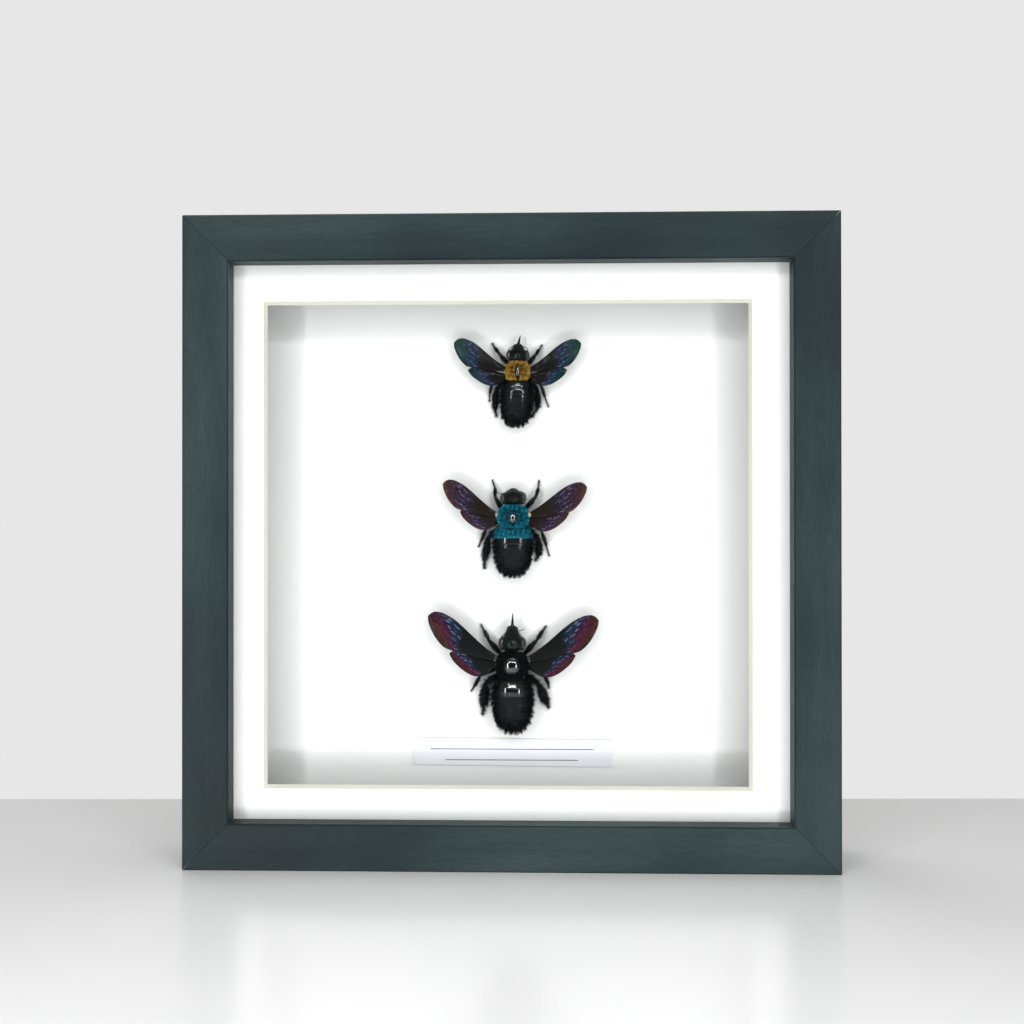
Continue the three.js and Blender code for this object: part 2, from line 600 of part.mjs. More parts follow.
function addBee(name, bee) {
  const body = new THREE.Group();
  body.position.set(bee.place[0], BOARD_Y, bee.place[1]);
  part.add(body);
  const shell = material(bee.shell, 0.35);
  const wing = material(bee.wing, 0.3, 0.2);
  const clearOfThorax = thoraxGeometry(grown(bee.thorax));
  const clearOfAbdomen = abdomenGeometry(grown(bee.abdomen));
  addMesh(body, name + "_head", cut(headGeometry(bee.head, bee.thorax.height), clearOfThorax), shell);
  addMesh(body, name + "_thorax", thoraxGeometry(bee.thorax), material(bee.pile, 0.9));
  addMesh(body, name + "_abdomen", cut(abdomenGeometry(bee.abdomen), clearOfThorax), shell);
  for (const [sideName, side] of [["left", -1], ["right", 1]]) {
    const forewing = wingGeometry(FOREWING, bee.forewings[sideName], bee.wingHeight, side);
    const hindwing = wingGeometry(HINDWING, bee.hindwings[sideName], bee.wingHeight - WING_DROP, side);
    addMesh(body, name + "_forewing_" + sideName, cut(forewing, clearOfThorax), wing);
    addMesh(body, name + "_hindwing_" + sideName, cut(hindwing, clearOfThorax), wing);
  }
  for (const [legName, joints] of Object.entries(bee.legs)) {
    const shinWidth = legName.startsWith("hind") ? bee.hindWidth : bee.legWidth;
    const leg = legGeometry(joints, bee.legWidth, shinWidth);
    addMesh(body, name + "_leg_" + legName, cut(leg, clearOfThorax, clearOfAbdomen), shell);
  }
}

addFrame();
addStack();
addBack();
for (const [name, bee] of Object.entries(BEES)) addBee(name, bee);

export default part;
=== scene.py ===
import math

import bpy
import numpy as np
from mathutils import Matrix, Vector


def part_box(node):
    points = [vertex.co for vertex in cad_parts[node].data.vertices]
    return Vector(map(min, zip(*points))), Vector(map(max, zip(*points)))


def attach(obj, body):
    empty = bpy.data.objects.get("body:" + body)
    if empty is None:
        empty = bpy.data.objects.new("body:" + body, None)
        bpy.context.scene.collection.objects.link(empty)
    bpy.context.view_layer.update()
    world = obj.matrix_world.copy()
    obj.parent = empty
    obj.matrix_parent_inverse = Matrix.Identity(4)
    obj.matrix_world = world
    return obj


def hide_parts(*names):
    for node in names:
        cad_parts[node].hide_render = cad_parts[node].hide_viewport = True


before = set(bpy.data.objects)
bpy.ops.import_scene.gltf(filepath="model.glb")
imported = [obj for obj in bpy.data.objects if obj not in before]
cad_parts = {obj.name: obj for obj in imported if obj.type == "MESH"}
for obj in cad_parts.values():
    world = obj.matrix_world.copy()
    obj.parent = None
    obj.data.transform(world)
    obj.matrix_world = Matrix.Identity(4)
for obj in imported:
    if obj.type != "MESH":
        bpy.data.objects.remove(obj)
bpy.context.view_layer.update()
mm = 0.001
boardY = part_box("display_board")[0].y  # the white face that the bees lie on
scene = bpy.context.scene


# Small helpers for picking objects and geometry

def pick(*objects):
    if bpy.context.mode != "OBJECT":
        bpy.ops.object.mode_set(mode="OBJECT")
    bpy.ops.object.select_all(action="DESELECT")
    for one in objects:
        one.select_set(True)
    bpy.context.view_layer.objects.active = objects[-1]


def settle(thing, name):
    # name it and bring its place and size into the mesh
    pick(thing)
    bpy.ops.object.transform_apply(location=True, rotation=True, scale=True)
    thing.name = name
    thing.data.name = name
    return thing


def joinUp(name, things):
    if len(things) > 1:
        pick(*things[1:], things[0])
        bpy.ops.object.join()
    things[0].name = name
    things[0].data.name = name
    return things[0]


def applyModifier(thing, kind, **settings):
    pick(thing)
    modifier = thing.modifiers.new(kind.title(), kind)
    for key, value in settings.items():
        setattr(modifier, key, value)
    bpy.ops.object.modifier_apply(modifier=modifier.name)


def smooth(thing):
    pick(thing)
    bpy.ops.object.shade_smooth()


def faceOutwards(thing):
    pick(thing)
    bpy.ops.object.mode_set(mode="EDIT")
    bpy.ops.mesh.select_all(action="SELECT")
    bpy.ops.mesh.remove_doubles(threshold=0.0005 * mm)
    bpy.ops.mesh.normals_make_consistent(inside=False)
    bpy.ops.object.mode_set(mode="OBJECT")


def points(thing):
    flat = np.zeros(len(thing.data.vertices) * 3)
    thing.data.vertices.foreach_get("co", flat)
    return flat.reshape(-1, 3)


def setPoints(thing, places):
    thing.data.vertices.foreach_set("co", np.asarray(places, float).ravel())
    thing.data.update()


def storeValues(thing, name, values):
    # one number for each point, which a material reads by its name
    thing.data.attributes.new(name, "FLOAT", "POINT").data.foreach_set("value", values.astype(np.float32))


def renumber(thing):
    # edit operators number the points and faces anew each run, and the hair is sown by those numbers
    places = points(thing)
    skewWay = np.array((0.531, 0.287, 0.797))  # no two points lie equally far along it
    order = np.argsort(places @ skewWay)
    rank = np.argsort(order).tolist()
    faces = []
    for face in thing.data.polygons:
        corners = [rank[corner] for corner in face.vertices]
        start = corners.index(min(corners))
        faces.append(corners[start:] + corners[:start])
    thing.data.clear_geometry()
    thing.data.from_pydata(places[order].tolist(), [], sorted(faces))


# Material helpers

def newLook(name, **values):
    look = bpy.data.materials.new(name)
    look.use_nodes = True
    shader = look.node_tree.nodes["Principled BSDF"]
    for key, value in values.items():
        shader.inputs[key.replace("_", " ")].default_value = value
    return look, look.node_tree, shader


def addNode(tree, kind, values=None, **settings):
    node = tree.nodes.new(kind)
    for key, value in settings.items():
        setattr(node, key, value)
    for key, value in (values or {}).items():
        node.inputs[key].default_value = value
    return node


def rampOf(tree, source, stops):
    ramp = addNode(tree, "ShaderNodeValToRGB")
    elements = ramp.color_ramp.elements
    while len(elements) < len(stops):
        elements.new(0.5)
    for element, (place, colour) in zip(elements, stops):
        element.position = place
        element.color = (*colour, 1)
    tree.links.new(source, ramp.inputs["Fac"])
    return ramp.outputs["Color"]


def noiseOf(tree, vector, scale, detail=3.0, roughness=0.55, distortion=0.0):
    noise = addNode(tree, "ShaderNodeTexNoise", {
        "Scale": scale, "Detail": detail, "Roughness": roughness, "Distortion": distortion})
    tree.links.new(vector, noise.inputs["Vector"])
    return noise.outputs["Fac"]


def stretched(tree, vector, scale, location=(0, 0, 0)):
    mapping = addNode(tree, "ShaderNodeMapping", {"Scale": scale, "Location": location})
    tree.links.new(vector, mapping.inputs["Vector"])
    return mapping.outputs["Vector"]


def mathOf(tree, operation, first, second=None, third=None):
    node = addNode(tree, "ShaderNodeMath", operation=operation)
    for socket, value in zip(node.inputs, (first, second, third)):
        if isinstance(value, (int, float)):
            socket.default_value = value
        elif value is not None:
            tree.links.new(value, socket)
    return node.outputs[0]


def mixOf(tree, share, first, second, blend="MIX"):
    node = addNode(tree, "ShaderNodeMix", data_type="RGBA", blend_type=blend)
    for socket, value in zip((node.inputs[0], node.inputs[6], node.inputs[7]), (share, first, second)):
        if isinstance(value, (int, float)):
            socket.default_value = value
        elif isinstance(value, tuple):
            socket.default_value = (*value, 1)
        else:
            tree.links.new(value, socket)
    return node.outputs[2]


def rangeOf(tree, source, low=0.0, high=1.0, start=0.0, end=1.0, **settings):
    # what runs from low to high comes out running from start to end
    node = addNode(tree, "ShaderNodeMapRange", {
        "From Min": low, "From Max": high, "To Min": start, "To Max": end}, **settings)
    tree.links.new(source, node.inputs["Value"])
    return node.outputs[0]


def attributeOf(tree, name):
    return addNode(tree, "ShaderNodeAttribute", attribute_name=name).outputs["Fac"]


def feed(shader, socket, source):
    shader.id_data.links.new(source, shader.inputs[socket])


def bumpOf(tree, shader, height, distance):
    bump = addNode(tree, "ShaderNodeBump", {"Distance": distance})
    tree.links.new(height, bump.inputs["Height"])
    feed(shader, "Normal", bump.outputs["Normal"])


def grey(value):
    return (value, value, value)


def objectPlace(tree):
    return addNode(tree, "ShaderNodeTexCoord").outputs["Object"]


def dress(node, look):
    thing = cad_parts[node]
    thing.data.materials.clear()
    thing.data.materials.append(look)


# Camera, floor and lights

studio = {
    "cameraPlace": (0.01263, -0.418, 0.11039),
    "cameraTurn": (90.218, 0.03, 1.69),  # degrees
    "lens": 45.33,
    "floorBack": 0.089,  # where the shelf ends behind the frame
    "floorFront": -0.24,  # short, so that the glass mirrors none of it over the bees
    "floorHalf": 1.6,
    "floorThick": 0.03,
    "backdrop": 0.80,
    "ringRadius": 0.285,  # the lights stand in a ring round the camera
    "ringY": -0.45,
    "ringCount": 16,
    "ringPower": 0.265,  # watts each
    "ringSize": (0.112, 0.026),
    "floorTurn": 1.69,  # degrees, square to the camera
    "above": ((0.1, 0.05, 1.1), 3.0, (0.9, 0.7)),  # place, watts, size
    "behind": ((-0.35, 0.5, 1.1), 2.8, (0.6, 0.6)),
    "roomPale": 0.36,
    "roomDark": 0.01,
}


def makeCamera():
    data = bpy.data.cameras.new("camera")
    data.lens = studio["lens"]
    data.sensor_width = 36
    data.clip_start = 0.01
    camera = bpy.data.objects.new("camera", data)
    camera.location = studio["cameraPlace"]
    camera.rotation_euler = [math.radians(angle) for angle in studio["cameraTurn"]]
    scene.collection.objects.link(camera)
    scene.camera = camera


def addAreaLight(name, place, target, power, size):
    data = bpy.data.lights.new(name, "AREA")
    data.shape = "RECTANGLE"
    data.size, data.size_y = size
    data.energy = power
    light = bpy.data.objects.new(name, data)
    light.location = place
    light.rotation_euler = (Vector(target) - Vector(place)).to_track_quat("-Z", "Y").to_euler()
    light.visible_camera = False
    scene.collection.objects.link(light)
    return light


def makeLights():
    middle = Vector((0.0, 0.0, 0.1))
    centre = Vector((0.0, studio["ringY"], 0.115))
    for i in range(studio["ringCount"]):
        angle = 2 * math.pi * i / studio["ringCount"]
        place = centre + Vector((math.cos(angle), 0, math.sin(angle))) * studio["ringRadius"]
        light = addAreaLight(f"ring_{i}", place, middle, studio["ringPower"], studio["ringSize"])
        away = (place - middle).normalized()
        along = Vector((-math.sin(angle), 0, math.cos(angle)))  # the long side runs round the ring
        light.rotation_euler = Matrix((along, away.cross(along), away)).transposed().to_euler()
    for name in ("above", "behind"):
        place, power, size = studio[name]
        addAreaLight(name, place, middle, power, size)


def makeWorld():
    world = bpy.data.worlds.new("studio")
    scene.world = world
    world.use_nodes = True
    tree = world.node_tree
    background = tree.nodes["Background"]
    heading = addNode(tree, "ShaderNodeVectorMath", operation="DOT_PRODUCT")
    heading.inputs[1].default_value = (0, -1, 0)
    tree.links.new(addNode(tree, "ShaderNodeTexCoord").outputs["Generated"], heading.inputs[0])
    # the studio is dark behind the camera, and pale round it
    room = rangeOf(tree, heading.outputs["Value"], 0.25, 0.88, studio["roomPale"], studio["roomDark"],
                   interpolation_type="SMOOTHSTEP")
    seen = addNode(tree, "ShaderNodeLightPath").outputs["Is Camera Ray"]
    sky = mixOf(tree, seen, room, grey(studio["backdrop"]))
    tree.links.new(sky, background.inputs["Color"])


def makeFloor():
    depth = studio["floorBack"] - studio["floorFront"]
    middle = (0, studio["floorFront"] + depth / 2, -studio["floorThick"] / 2)
    bpy.ops.mesh.primitive_cube_add(size=1, location=middle)
    floor = bpy.context.object
    floor.scale = (2 * studio["floorHalf"], depth, studio["floorThick"])
    settle(floor, "floor")
    floor.rotation_euler.z = math.radians(studio["floorTurn"])
    floor.visible_shadow = False  # the low lights of the ring shine past it
    applyModifier(floor, "BEVEL", width=0.002, segments=3)
    look, tree, shader = newLook("pale floor", Roughness=0.2, Specular_IOR_Level=0.3)
    cloud = noiseOf(tree, objectPlace(tree), 3.0)
    feed(shader, "Base Color", rampOf(tree, cloud, [(0.3, grey(0.80)), (0.7, grey(0.84))]))
    floor.data.materials.append(look)


scene.view_settings.view_transform = "Standard"
makeCamera()
makeWorld()
makeLights()
makeFloor()
print("studio ready")


# Frame, glazing and back

def charcoalWood(name, grainScale):
    look, tree, shader = newLook(name, Specular_IOR_Level=0.13)
    place = objectPlace(tree)
    run = stretched(tree, place, grainScale)
    grain = noiseOf(tree, run, 260, 4, 0.6, 0.3)
    speckle = noiseOf(tree, place, 2600, 2, 0.7)
    stain = rampOf(tree, noiseOf(tree, run, 11, 3, 0.5), [
        (0.3, (0.0095, 0.0190, 0.0210)), (0.72, (0.0200, 0.0350, 0.0380))])
    pores = rampOf(tree, grain, [(0.33, grey(0.74)), (0.6, grey(1.06))])
    flecks = rampOf(tree, speckle, [(0.62, (0, 0, 0)), (0.75, (0.012, 0.014, 0.014))])
    # painted sheen: large patches darker and lighter stand in for the uneven sheen of light on the rails,
    # and the tint drifts from a dark neutral one through blue to green
    cloud = rampOf(tree, noiseOf(tree, place, 9, 2, 0.5), [
        (0.34, (0.62, 0.60, 0.58)), (0.46, (0.68, 0.76, 0.86)),
        (0.54, (1.0, 1.14, 1.08)), (0.66, (1.45, 1.42, 1.36))])
    stain = mixOf(tree, 0.75, stain, pores, "MULTIPLY")
    stain = mixOf(tree, 1.0, mixOf(tree, 1.0, stain, flecks, "ADD"), cloud, "MULTIPLY")
    feed(shader, "Base Color", stain)
    height = mathOf(tree, "MULTIPLY_ADD", grain, 0.6, mathOf(tree, "MULTIPLY", speckle, 0.5))
    bumpOf(tree, shader, height, 0.05 * mm)
    feed(shader, "Roughness", rangeOf(tree, speckle, start=0.36, end=0.52))
    return look


def paperLook(name, pale, shade):
    look, tree, shader = newLook(name, Roughness=0.85, Specular_IOR_Level=0.25)
    fibre = noiseOf(tree, objectPlace(tree), 900, 4, 0.65)
    feed(shader, "Base Color", rampOf(tree, fibre, [(0.3, shade), (0.7, pale)]))
    bumpOf(tree, shader, fibre, 0.02 * mm)
    return look, tree, shader


def matLook():
    # white face paper on a cream core that shows where the window is cut on a slant
    look, tree, shader = paperLook("mat card", (0.90, 0.90, 0.895), (0.86, 0.86, 0.855))
    slant = addNode(tree, "ShaderNodeSeparateXYZ")
    tree.links.new(addNode(tree, "ShaderNodeNewGeometry").outputs["True Normal"], slant.inputs[0])
    flat = rangeOf(tree, mathOf(tree, "ABSOLUTE", slant.outputs["Y"]), 0.9, 0.95)
    fibre = noiseOf(tree, objectPlace(tree), 2200, 3, 0.7)
    cream = rampOf(tree, fibre, [(0.3, (0.63, 0.61, 0.53)), (0.7, (0.74, 0.72, 0.64))])
    face = shader.inputs["Base Color"].links[0].from_socket
    card = mixOf(tree, flat, cream, face)
    # grey backing paper on the side that faces the bees
    rear = mathOf(tree, "GREATER_THAN", slant.outputs["Y"], 0.9)
    feed(shader, "Base Color", mixOf(tree, rear, card, (0.25, 0.25, 0.245)))
    return look


def glassLook():
    look = bpy.data.materials.new("picture glass")
    look.use_nodes = True
    tree = look.node_tree
    tree.nodes.remove(tree.nodes["Principled BSDF"])
    clear = addNode(tree, "ShaderNodeBsdfTransparent", {"Color": (0.985, 0.992, 0.988, 1)})
    gloss = addNode(tree, "ShaderNodeBsdfGlossy", {"Roughness": 0.01})
    fresnel = addNode(tree, "ShaderNodeFresnel", {"IOR": 1.45})
    # only the side that a ray enters by mirrors, because the ray isn't bent inside the pane
    front = mathOf(tree, "SUBTRACT", 1.0, addNode(tree, "ShaderNodeNewGeometry").outputs["Backfacing"])
    mix = addNode(tree, "ShaderNodeMixShader")
    tree.links.new(mathOf(tree, "MULTIPLY", fresnel.outputs[0], front), mix.inputs[0])
    tree.links.new(clear.outputs[0], mix.inputs[1])
    tree.links.new(gloss.outputs[0], mix.inputs[2])
    tree.links.new(mix.outputs[0], tree.nodes["Material Output"].inputs["Surface"])
    return look


label = {
    "rules": ((1.0, 27.0), (-2.6, 22.0)),  # height over the middle and half length, mm
    "half": 0.14,  # half a rule's thickness, mm
    "ink": (0.10, 0.10, 0.11),
}


def labelLook():
    # bluish white paper with two plain printed rules
    look, tree, shader = paperLook("label paper", (0.81, 0.82, 0.865), (0.78, 0.79, 0.84))
    middle = sum(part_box("label"), Vector()) / 2
    split = addNode(tree, "ShaderNodeSeparateXYZ")
    tree.links.new(stretched(tree, objectPlace(tree), (1, 1, 1), tuple(-middle)), split.inputs[0])
    sideways = mathOf(tree, "ABSOLUTE", split.outputs["X"])
    colour = shader.inputs["Base Color"].links[0].from_socket
    for height, reach in label["rules"]:
        off = mathOf(tree, "ABSOLUTE", mathOf(tree, "SUBTRACT", split.outputs["Z"], height * mm))
        ink = mathOf(tree, "MULTIPLY", mathOf(tree, "LESS_THAN", off, label["half"] * mm),
                     mathOf(tree, "LESS_THAN", sideways, reach * mm))
        colour = mixOf(tree, ink, colour, label["ink"])
    feed(shader, "Base Color", colour)
    return look


def fibreBoardLook():
    look, tree, shader = newLook("brown board", Roughness=0.8, Specular_IOR_Level=0.3)
    place = objectPlace(tree)
    fibre = noiseOf(tree, place, 420, 6, 0.7, 0.6)
    cloud = noiseOf(tree, place, 26, 3)
    darker = rampOf(tree, fibre, [(0.3, (0.16, 0.088, 0.042)), (0.7, (0.30, 0.185, 0.095))])
    paler = rampOf(tree, fibre, [(0.3, (0.20, 0.115, 0.058)), (0.7, (0.36, 0.23, 0.125))])
    feed(shader, "Base Color", mixOf(tree, cloud, darker, paler))
    bumpOf(tree, shader, fibre, 0.12 * mm)
    return look


def zincLook():
    look, tree, shader = newLook("zinc steel", Metallic=1.0)
    place = objectPlace(tree)
    scratch = noiseOf(tree, stretched(tree, place, (1, 1, 14)), 900, 4, 0.7)
    steel = [(0.3, (0.42, 0.43, 0.43)), (0.7, (0.62, 0.63, 0.62))]
    feed(shader, "Base Color", rampOf(tree, scratch, steel))
    feed(shader, "Roughness", rangeOf(tree, noiseOf(tree, place, 140), start=0.25, end=0.5))
    bumpOf(tree, shader, scratch, 0.02 * mm)
    return look


def dressFrame():
    sides = ("top", "bottom", "left", "right")
    acrossLook = charcoalWood("charcoal wood across", (1, 8, 8))
    uprightLook = charcoalWood("charcoal wood upright", (8, 8, 1))
    greyBoard = paperLook("grey spacer board", (0.22, 0.22, 0.215), (0.16, 0.16, 0.155))[0]
    zinc = zincLook()
    for side in sides:
        rail = side in ("top", "bottom")
        dress(("frame_rail_" if rail else "frame_stile_") + side, acrossLook if rail else uprightLook)
        dress("spacer_" + side, greyBoard)
        dress("back_tab_" + side, zinc)
    for name in ("sawtooth_hanger", "hanger_screw_left", "hanger_screw_right"):
        dress(name, zinc)
    dress("glass_pane", glassLook())
    dress("mat", matLook())
    dress("display_board", paperLook("white card", grey(0.90), grey(0.87))[0])
    dress("label", labelLook())
    dress("back_board", fibreBoardLook())


dressFrame()
print("frame dressed")


# Bee materials

def shellLook(name, tint, roughness=0.2, pits=0.012, coat=0.2, coatIor=1.5, polished=False, blur=0.04):
    look, tree, shader = newLook(name, Roughness=roughness, Specular_IOR_Level=0.06, Coat_Weight=coat,
                                 Coat_Roughness=blur, Coat_IOR=coatIor)
    place = objectPlace(tree)
    dimples = addNode(tree, "ShaderNodeTexVoronoi", {"Scale": 5200.0}, feature="SMOOTH_F1")
    tree.links.new(place, dimples.inputs["Vector"])
    dark = tuple(0.45 * value for value in tint)
    feed(shader, "Base Color", rampOf(tree, noiseOf(tree, place, 900, 3), [(0.35, dark), (0.7, tint)]))
    bumpOf(tree, shader, dimples.outputs["Distance"], pits * mm)
    if polished:
        # "polish" is 1 where the plate is bare and bright
        polish = attributeOf(tree, "polish")
        feed(shader, "Roughness", rangeOf(tree, polish, start=0.5, end=roughness))
        feed(shader, "Coat Weight", mathOf(tree, "MULTIPLY", polish, coat))
    return look


def eyeLook():
    look, tree, shader = newLook("compound eye", Roughness=0.3, Coat_Weight=0.45, Coat_Roughness=0.06,
                                 Coat_IOR=1.6)
    facets = addNode(tree, "ShaderNodeTexVoronoi", {"Scale": 9000.0, "Randomness": 0.25})
    tree.links.new(objectPlace(tree), facets.inputs["Vector"])
    distance = facets.outputs["Distance"]
    feed(shader, "Base Color", rampOf(tree, distance, [
        (0.1, (0.020, 0.022, 0.020)), (0.7, (0.006, 0.007, 0.007))]))
    bumpOf(tree, shader, distance, 0.015 * mm)
    return look


def hairLook(name, root, middle, tip, roughness=0.55, gloss=0.08):
    # the hair mesh carries "along", from root to tip, and "tone", one value for each hair
    look, tree, shader = newLook(name, Roughness=roughness, Specular_IOR_Level=gloss)
    strand = rampOf(tree, attributeOf(tree, "along"), [(0.05, root), (0.5, middle), (1.0, tip)])
    shade = rampOf(tree, attributeOf(tree, "tone"), [
        (0.0, (0.22, 0.19, 0.17)), (0.5, (1.0, 1.0, 1.0)), (1.0, (1.8, 1.75, 1.7))])
    feed(shader, "Base Color", mixOf(tree, 1.0, strand, shade, "MULTIPLY"))
    return look


def wingLook(name, bands, rim, base, slant, glint):
    # UV: along the wing from the root, across it from the leading edge
    look, tree, shader = newLook(name, Roughness=0.42, Specular_IOR_Level=0.05, Coat_Weight=0.15,
                                 Coat_Roughness=0.04)

    def times(first, second):
        return mathOf(tree, "MULTIPLY", first, second)

    def plusTimes(first, second, third):
        return mathOf(tree, "MULTIPLY_ADD", first, second, third)

    split = addNode(tree, "ShaderNodeSeparateXYZ")
    uv = addNode(tree, "ShaderNodeUVMap").outputs["UV"]
    tree.links.new(uv, split.inputs[0])
    along, across = split.outputs["X"], split.outputs["Y"]
    cloud = mathOf(tree, "SUBTRACT", noiseOf(tree, uv, 6, 4, 0.6, 0.5), 0.5)
    creases = noiseOf(tree, stretched(tree, uv, (13, 17, 1)), 1.0, 2, 0.5, 0.8)
    weave = noiseOf(tree, stretched(tree, uv, (16, 22, 1), (3.1, 7.7, 0)), 1.0, 3, 0.6, 0.8)
    # the colours run aslant over the wing
    shifted = plusTimes(cloud, 0.3, plusTimes(across, slant, along))
    threads = rampOf(tree, weave, [(0.38, (0.25, 0.25, 0.32)), (0.62, (1.7, 1.6, 1.6))])
    colour = mixOf(tree, 0.85, rampOf(tree, shifted, bands), threads, "MULTIPLY")
    # painted glints: pale strokes on the crests of the creases, most of them over the middle
    glintCrest = rangeOf(tree, creases, 0.585, 0.66)
    off = times(mathOf(tree, "SUBTRACT", shifted, glint["place"]), 1 / glint["spread"])
    bell = mathOf(tree, "POWER", math.e, times(times(off, off), -1.0))
    colour = mixOf(tree, times(times(glintCrest, bell), glint["share"]), colour, glint["tint"])
    # the root is black or brown
    rootPlace = plusTimes(cloud, 0.22, plusTimes(across, 0.16, along))
    root = rangeOf(tree, rootPlace, base["until"] - 0.03, base["until"] + 0.03, 1.0, 0.0)
    colour = mixOf(tree, root, colour, base["tint"])
    # a rim along the outer half
    tipward = times(mathOf(tree, "SUBTRACT", 1.0, along), 2.4)
    nearEdge = mathOf(tree, "MINIMUM", tipward, mathOf(tree, "SUBTRACT", 1.0, across))
    edge = rangeOf(tree, nearEdge, 0.03, 0.11, 1.0, 0.0)
    colour = mixOf(tree, times(edge, rangeOf(tree, along, 0.25, 0.5)), colour, rim)
    feed(shader, "Base Color", colour)
    bumpOf(tree, shader, creases, 0.16 * mm)
    return look


black = (0.0098, 0.0130, 0.0134)
# each wing's colours; the glint entry gives the place, spread, share and tint of its painted glints
wingTints = {
    "yellow_bee": {
        "bands": [(0.36, (0.006, 0.004, 0.012)), (0.54, (0.011, 0.008, 0.028)),
                  (0.62, (0.006, 0.012, 0.034)), (0.78, (0.0022, 0.018, 0.024)),
                  (1.0, (0.0008, 0.024, 0.019))],
        "rim": (0.0025, 0.006, 0.004),
        "base": {"until": 0.45, "tint": (0.0046, 0.0046, 0.0048)},
        "slant": 0.25,
        "glint": {"place": 0.64, "spread": 0.22, "share": 0.6, "tint": (0.11, 0.23, 0.34)},
    },
    "blue_bee": {
        "bands": [(0.40, (0.010, 0.008, 0.018)), (0.58, (0.017, 0.009, 0.027)),
                  (0.80, (0.026, 0.010, 0.021)), (0.93, (0.036, 0.016, 0.013)),
                  (1.0, (0.055, 0.025, 0.014))],
        "rim": (0.085, 0.038, 0.018),
        "base": {"until": 0.40, "tint": (0.0135, 0.0088, 0.0066)},
        "slant": 0.2,
        "glint": {"place": 0.60, "spread": 0.17, "share": 0.55, "tint": (0.27, 0.26, 0.42)},
    },
    "black_bee": {
        "bands": [(0.50, (0.006, 0.010, 0.026)), (0.74, (0.008, 0.014, 0.038)),
                  (0.84, (0.030, 0.006, 0.027)), (0.93, (0.060, 0.006, 0.025)),
                  (1.0, (0.040, 0.009, 0.012))],
        "rim": (0.010, 0.010, 0.005),
        "base": {"until": 0.48, "tint": (0.0046, 0.0058, 0.0058)},
        "slant": 0.55,
        "glint": {"place": 0.70, "spread": 0.15, "share": 0.65, "tint": (0.23, 0.35, 0.50)},
    },
}
looks = {
    "shell": shellLook("black shell", black, 0.14),
    "thoraxShell": shellLook("thorax shell", (0.0070, 0.0092, 0.0096), 0.10, 0.001, 0.9, 2.2, True),
    "greenShell": shellLook("green black shell", (0.0062, 0.0130, 0.0105), 0.3, 0.02, 0.3, 1.5),
    "eye": eyeLook(),
    "blackHair": hairLook("black hair", (0.0042, 0.0050, 0.0053), (0.0086, 0.0110, 0.0116),
                          (0.0150, 0.0190, 0.0196), 0.7, 0.03),
    "yellowHair": hairLook("yellow hair", (0.12, 0.050, 0.005), (0.50, 0.275, 0.035), (0.74, 0.50, 0.15)),
    "blueHair": hairLook("blue hair", (0.003, 0.036, 0.058), (0.009, 0.215, 0.345), (0.040, 0.420, 0.560)),
    "vein": shellLook("wing vein", (0.010, 0.009, 0.008), 0.3),
    "cream": shellLook("cream cap", (0.60, 0.54, 0.40), 0.4),
    "greyGreen": shellLook("grey green cap", (0.060, 0.075, 0.060), 0.4),
}
for bee, tints in wingTints.items():
    looks[bee + "Wing"] = wingLook(bee + " wing", **tints)


# Bee measures, in millimetres from the middle of the thorax: right, up, and height off the board.
# They are those of the solids. A wing is its root, its tip and how broad it is.

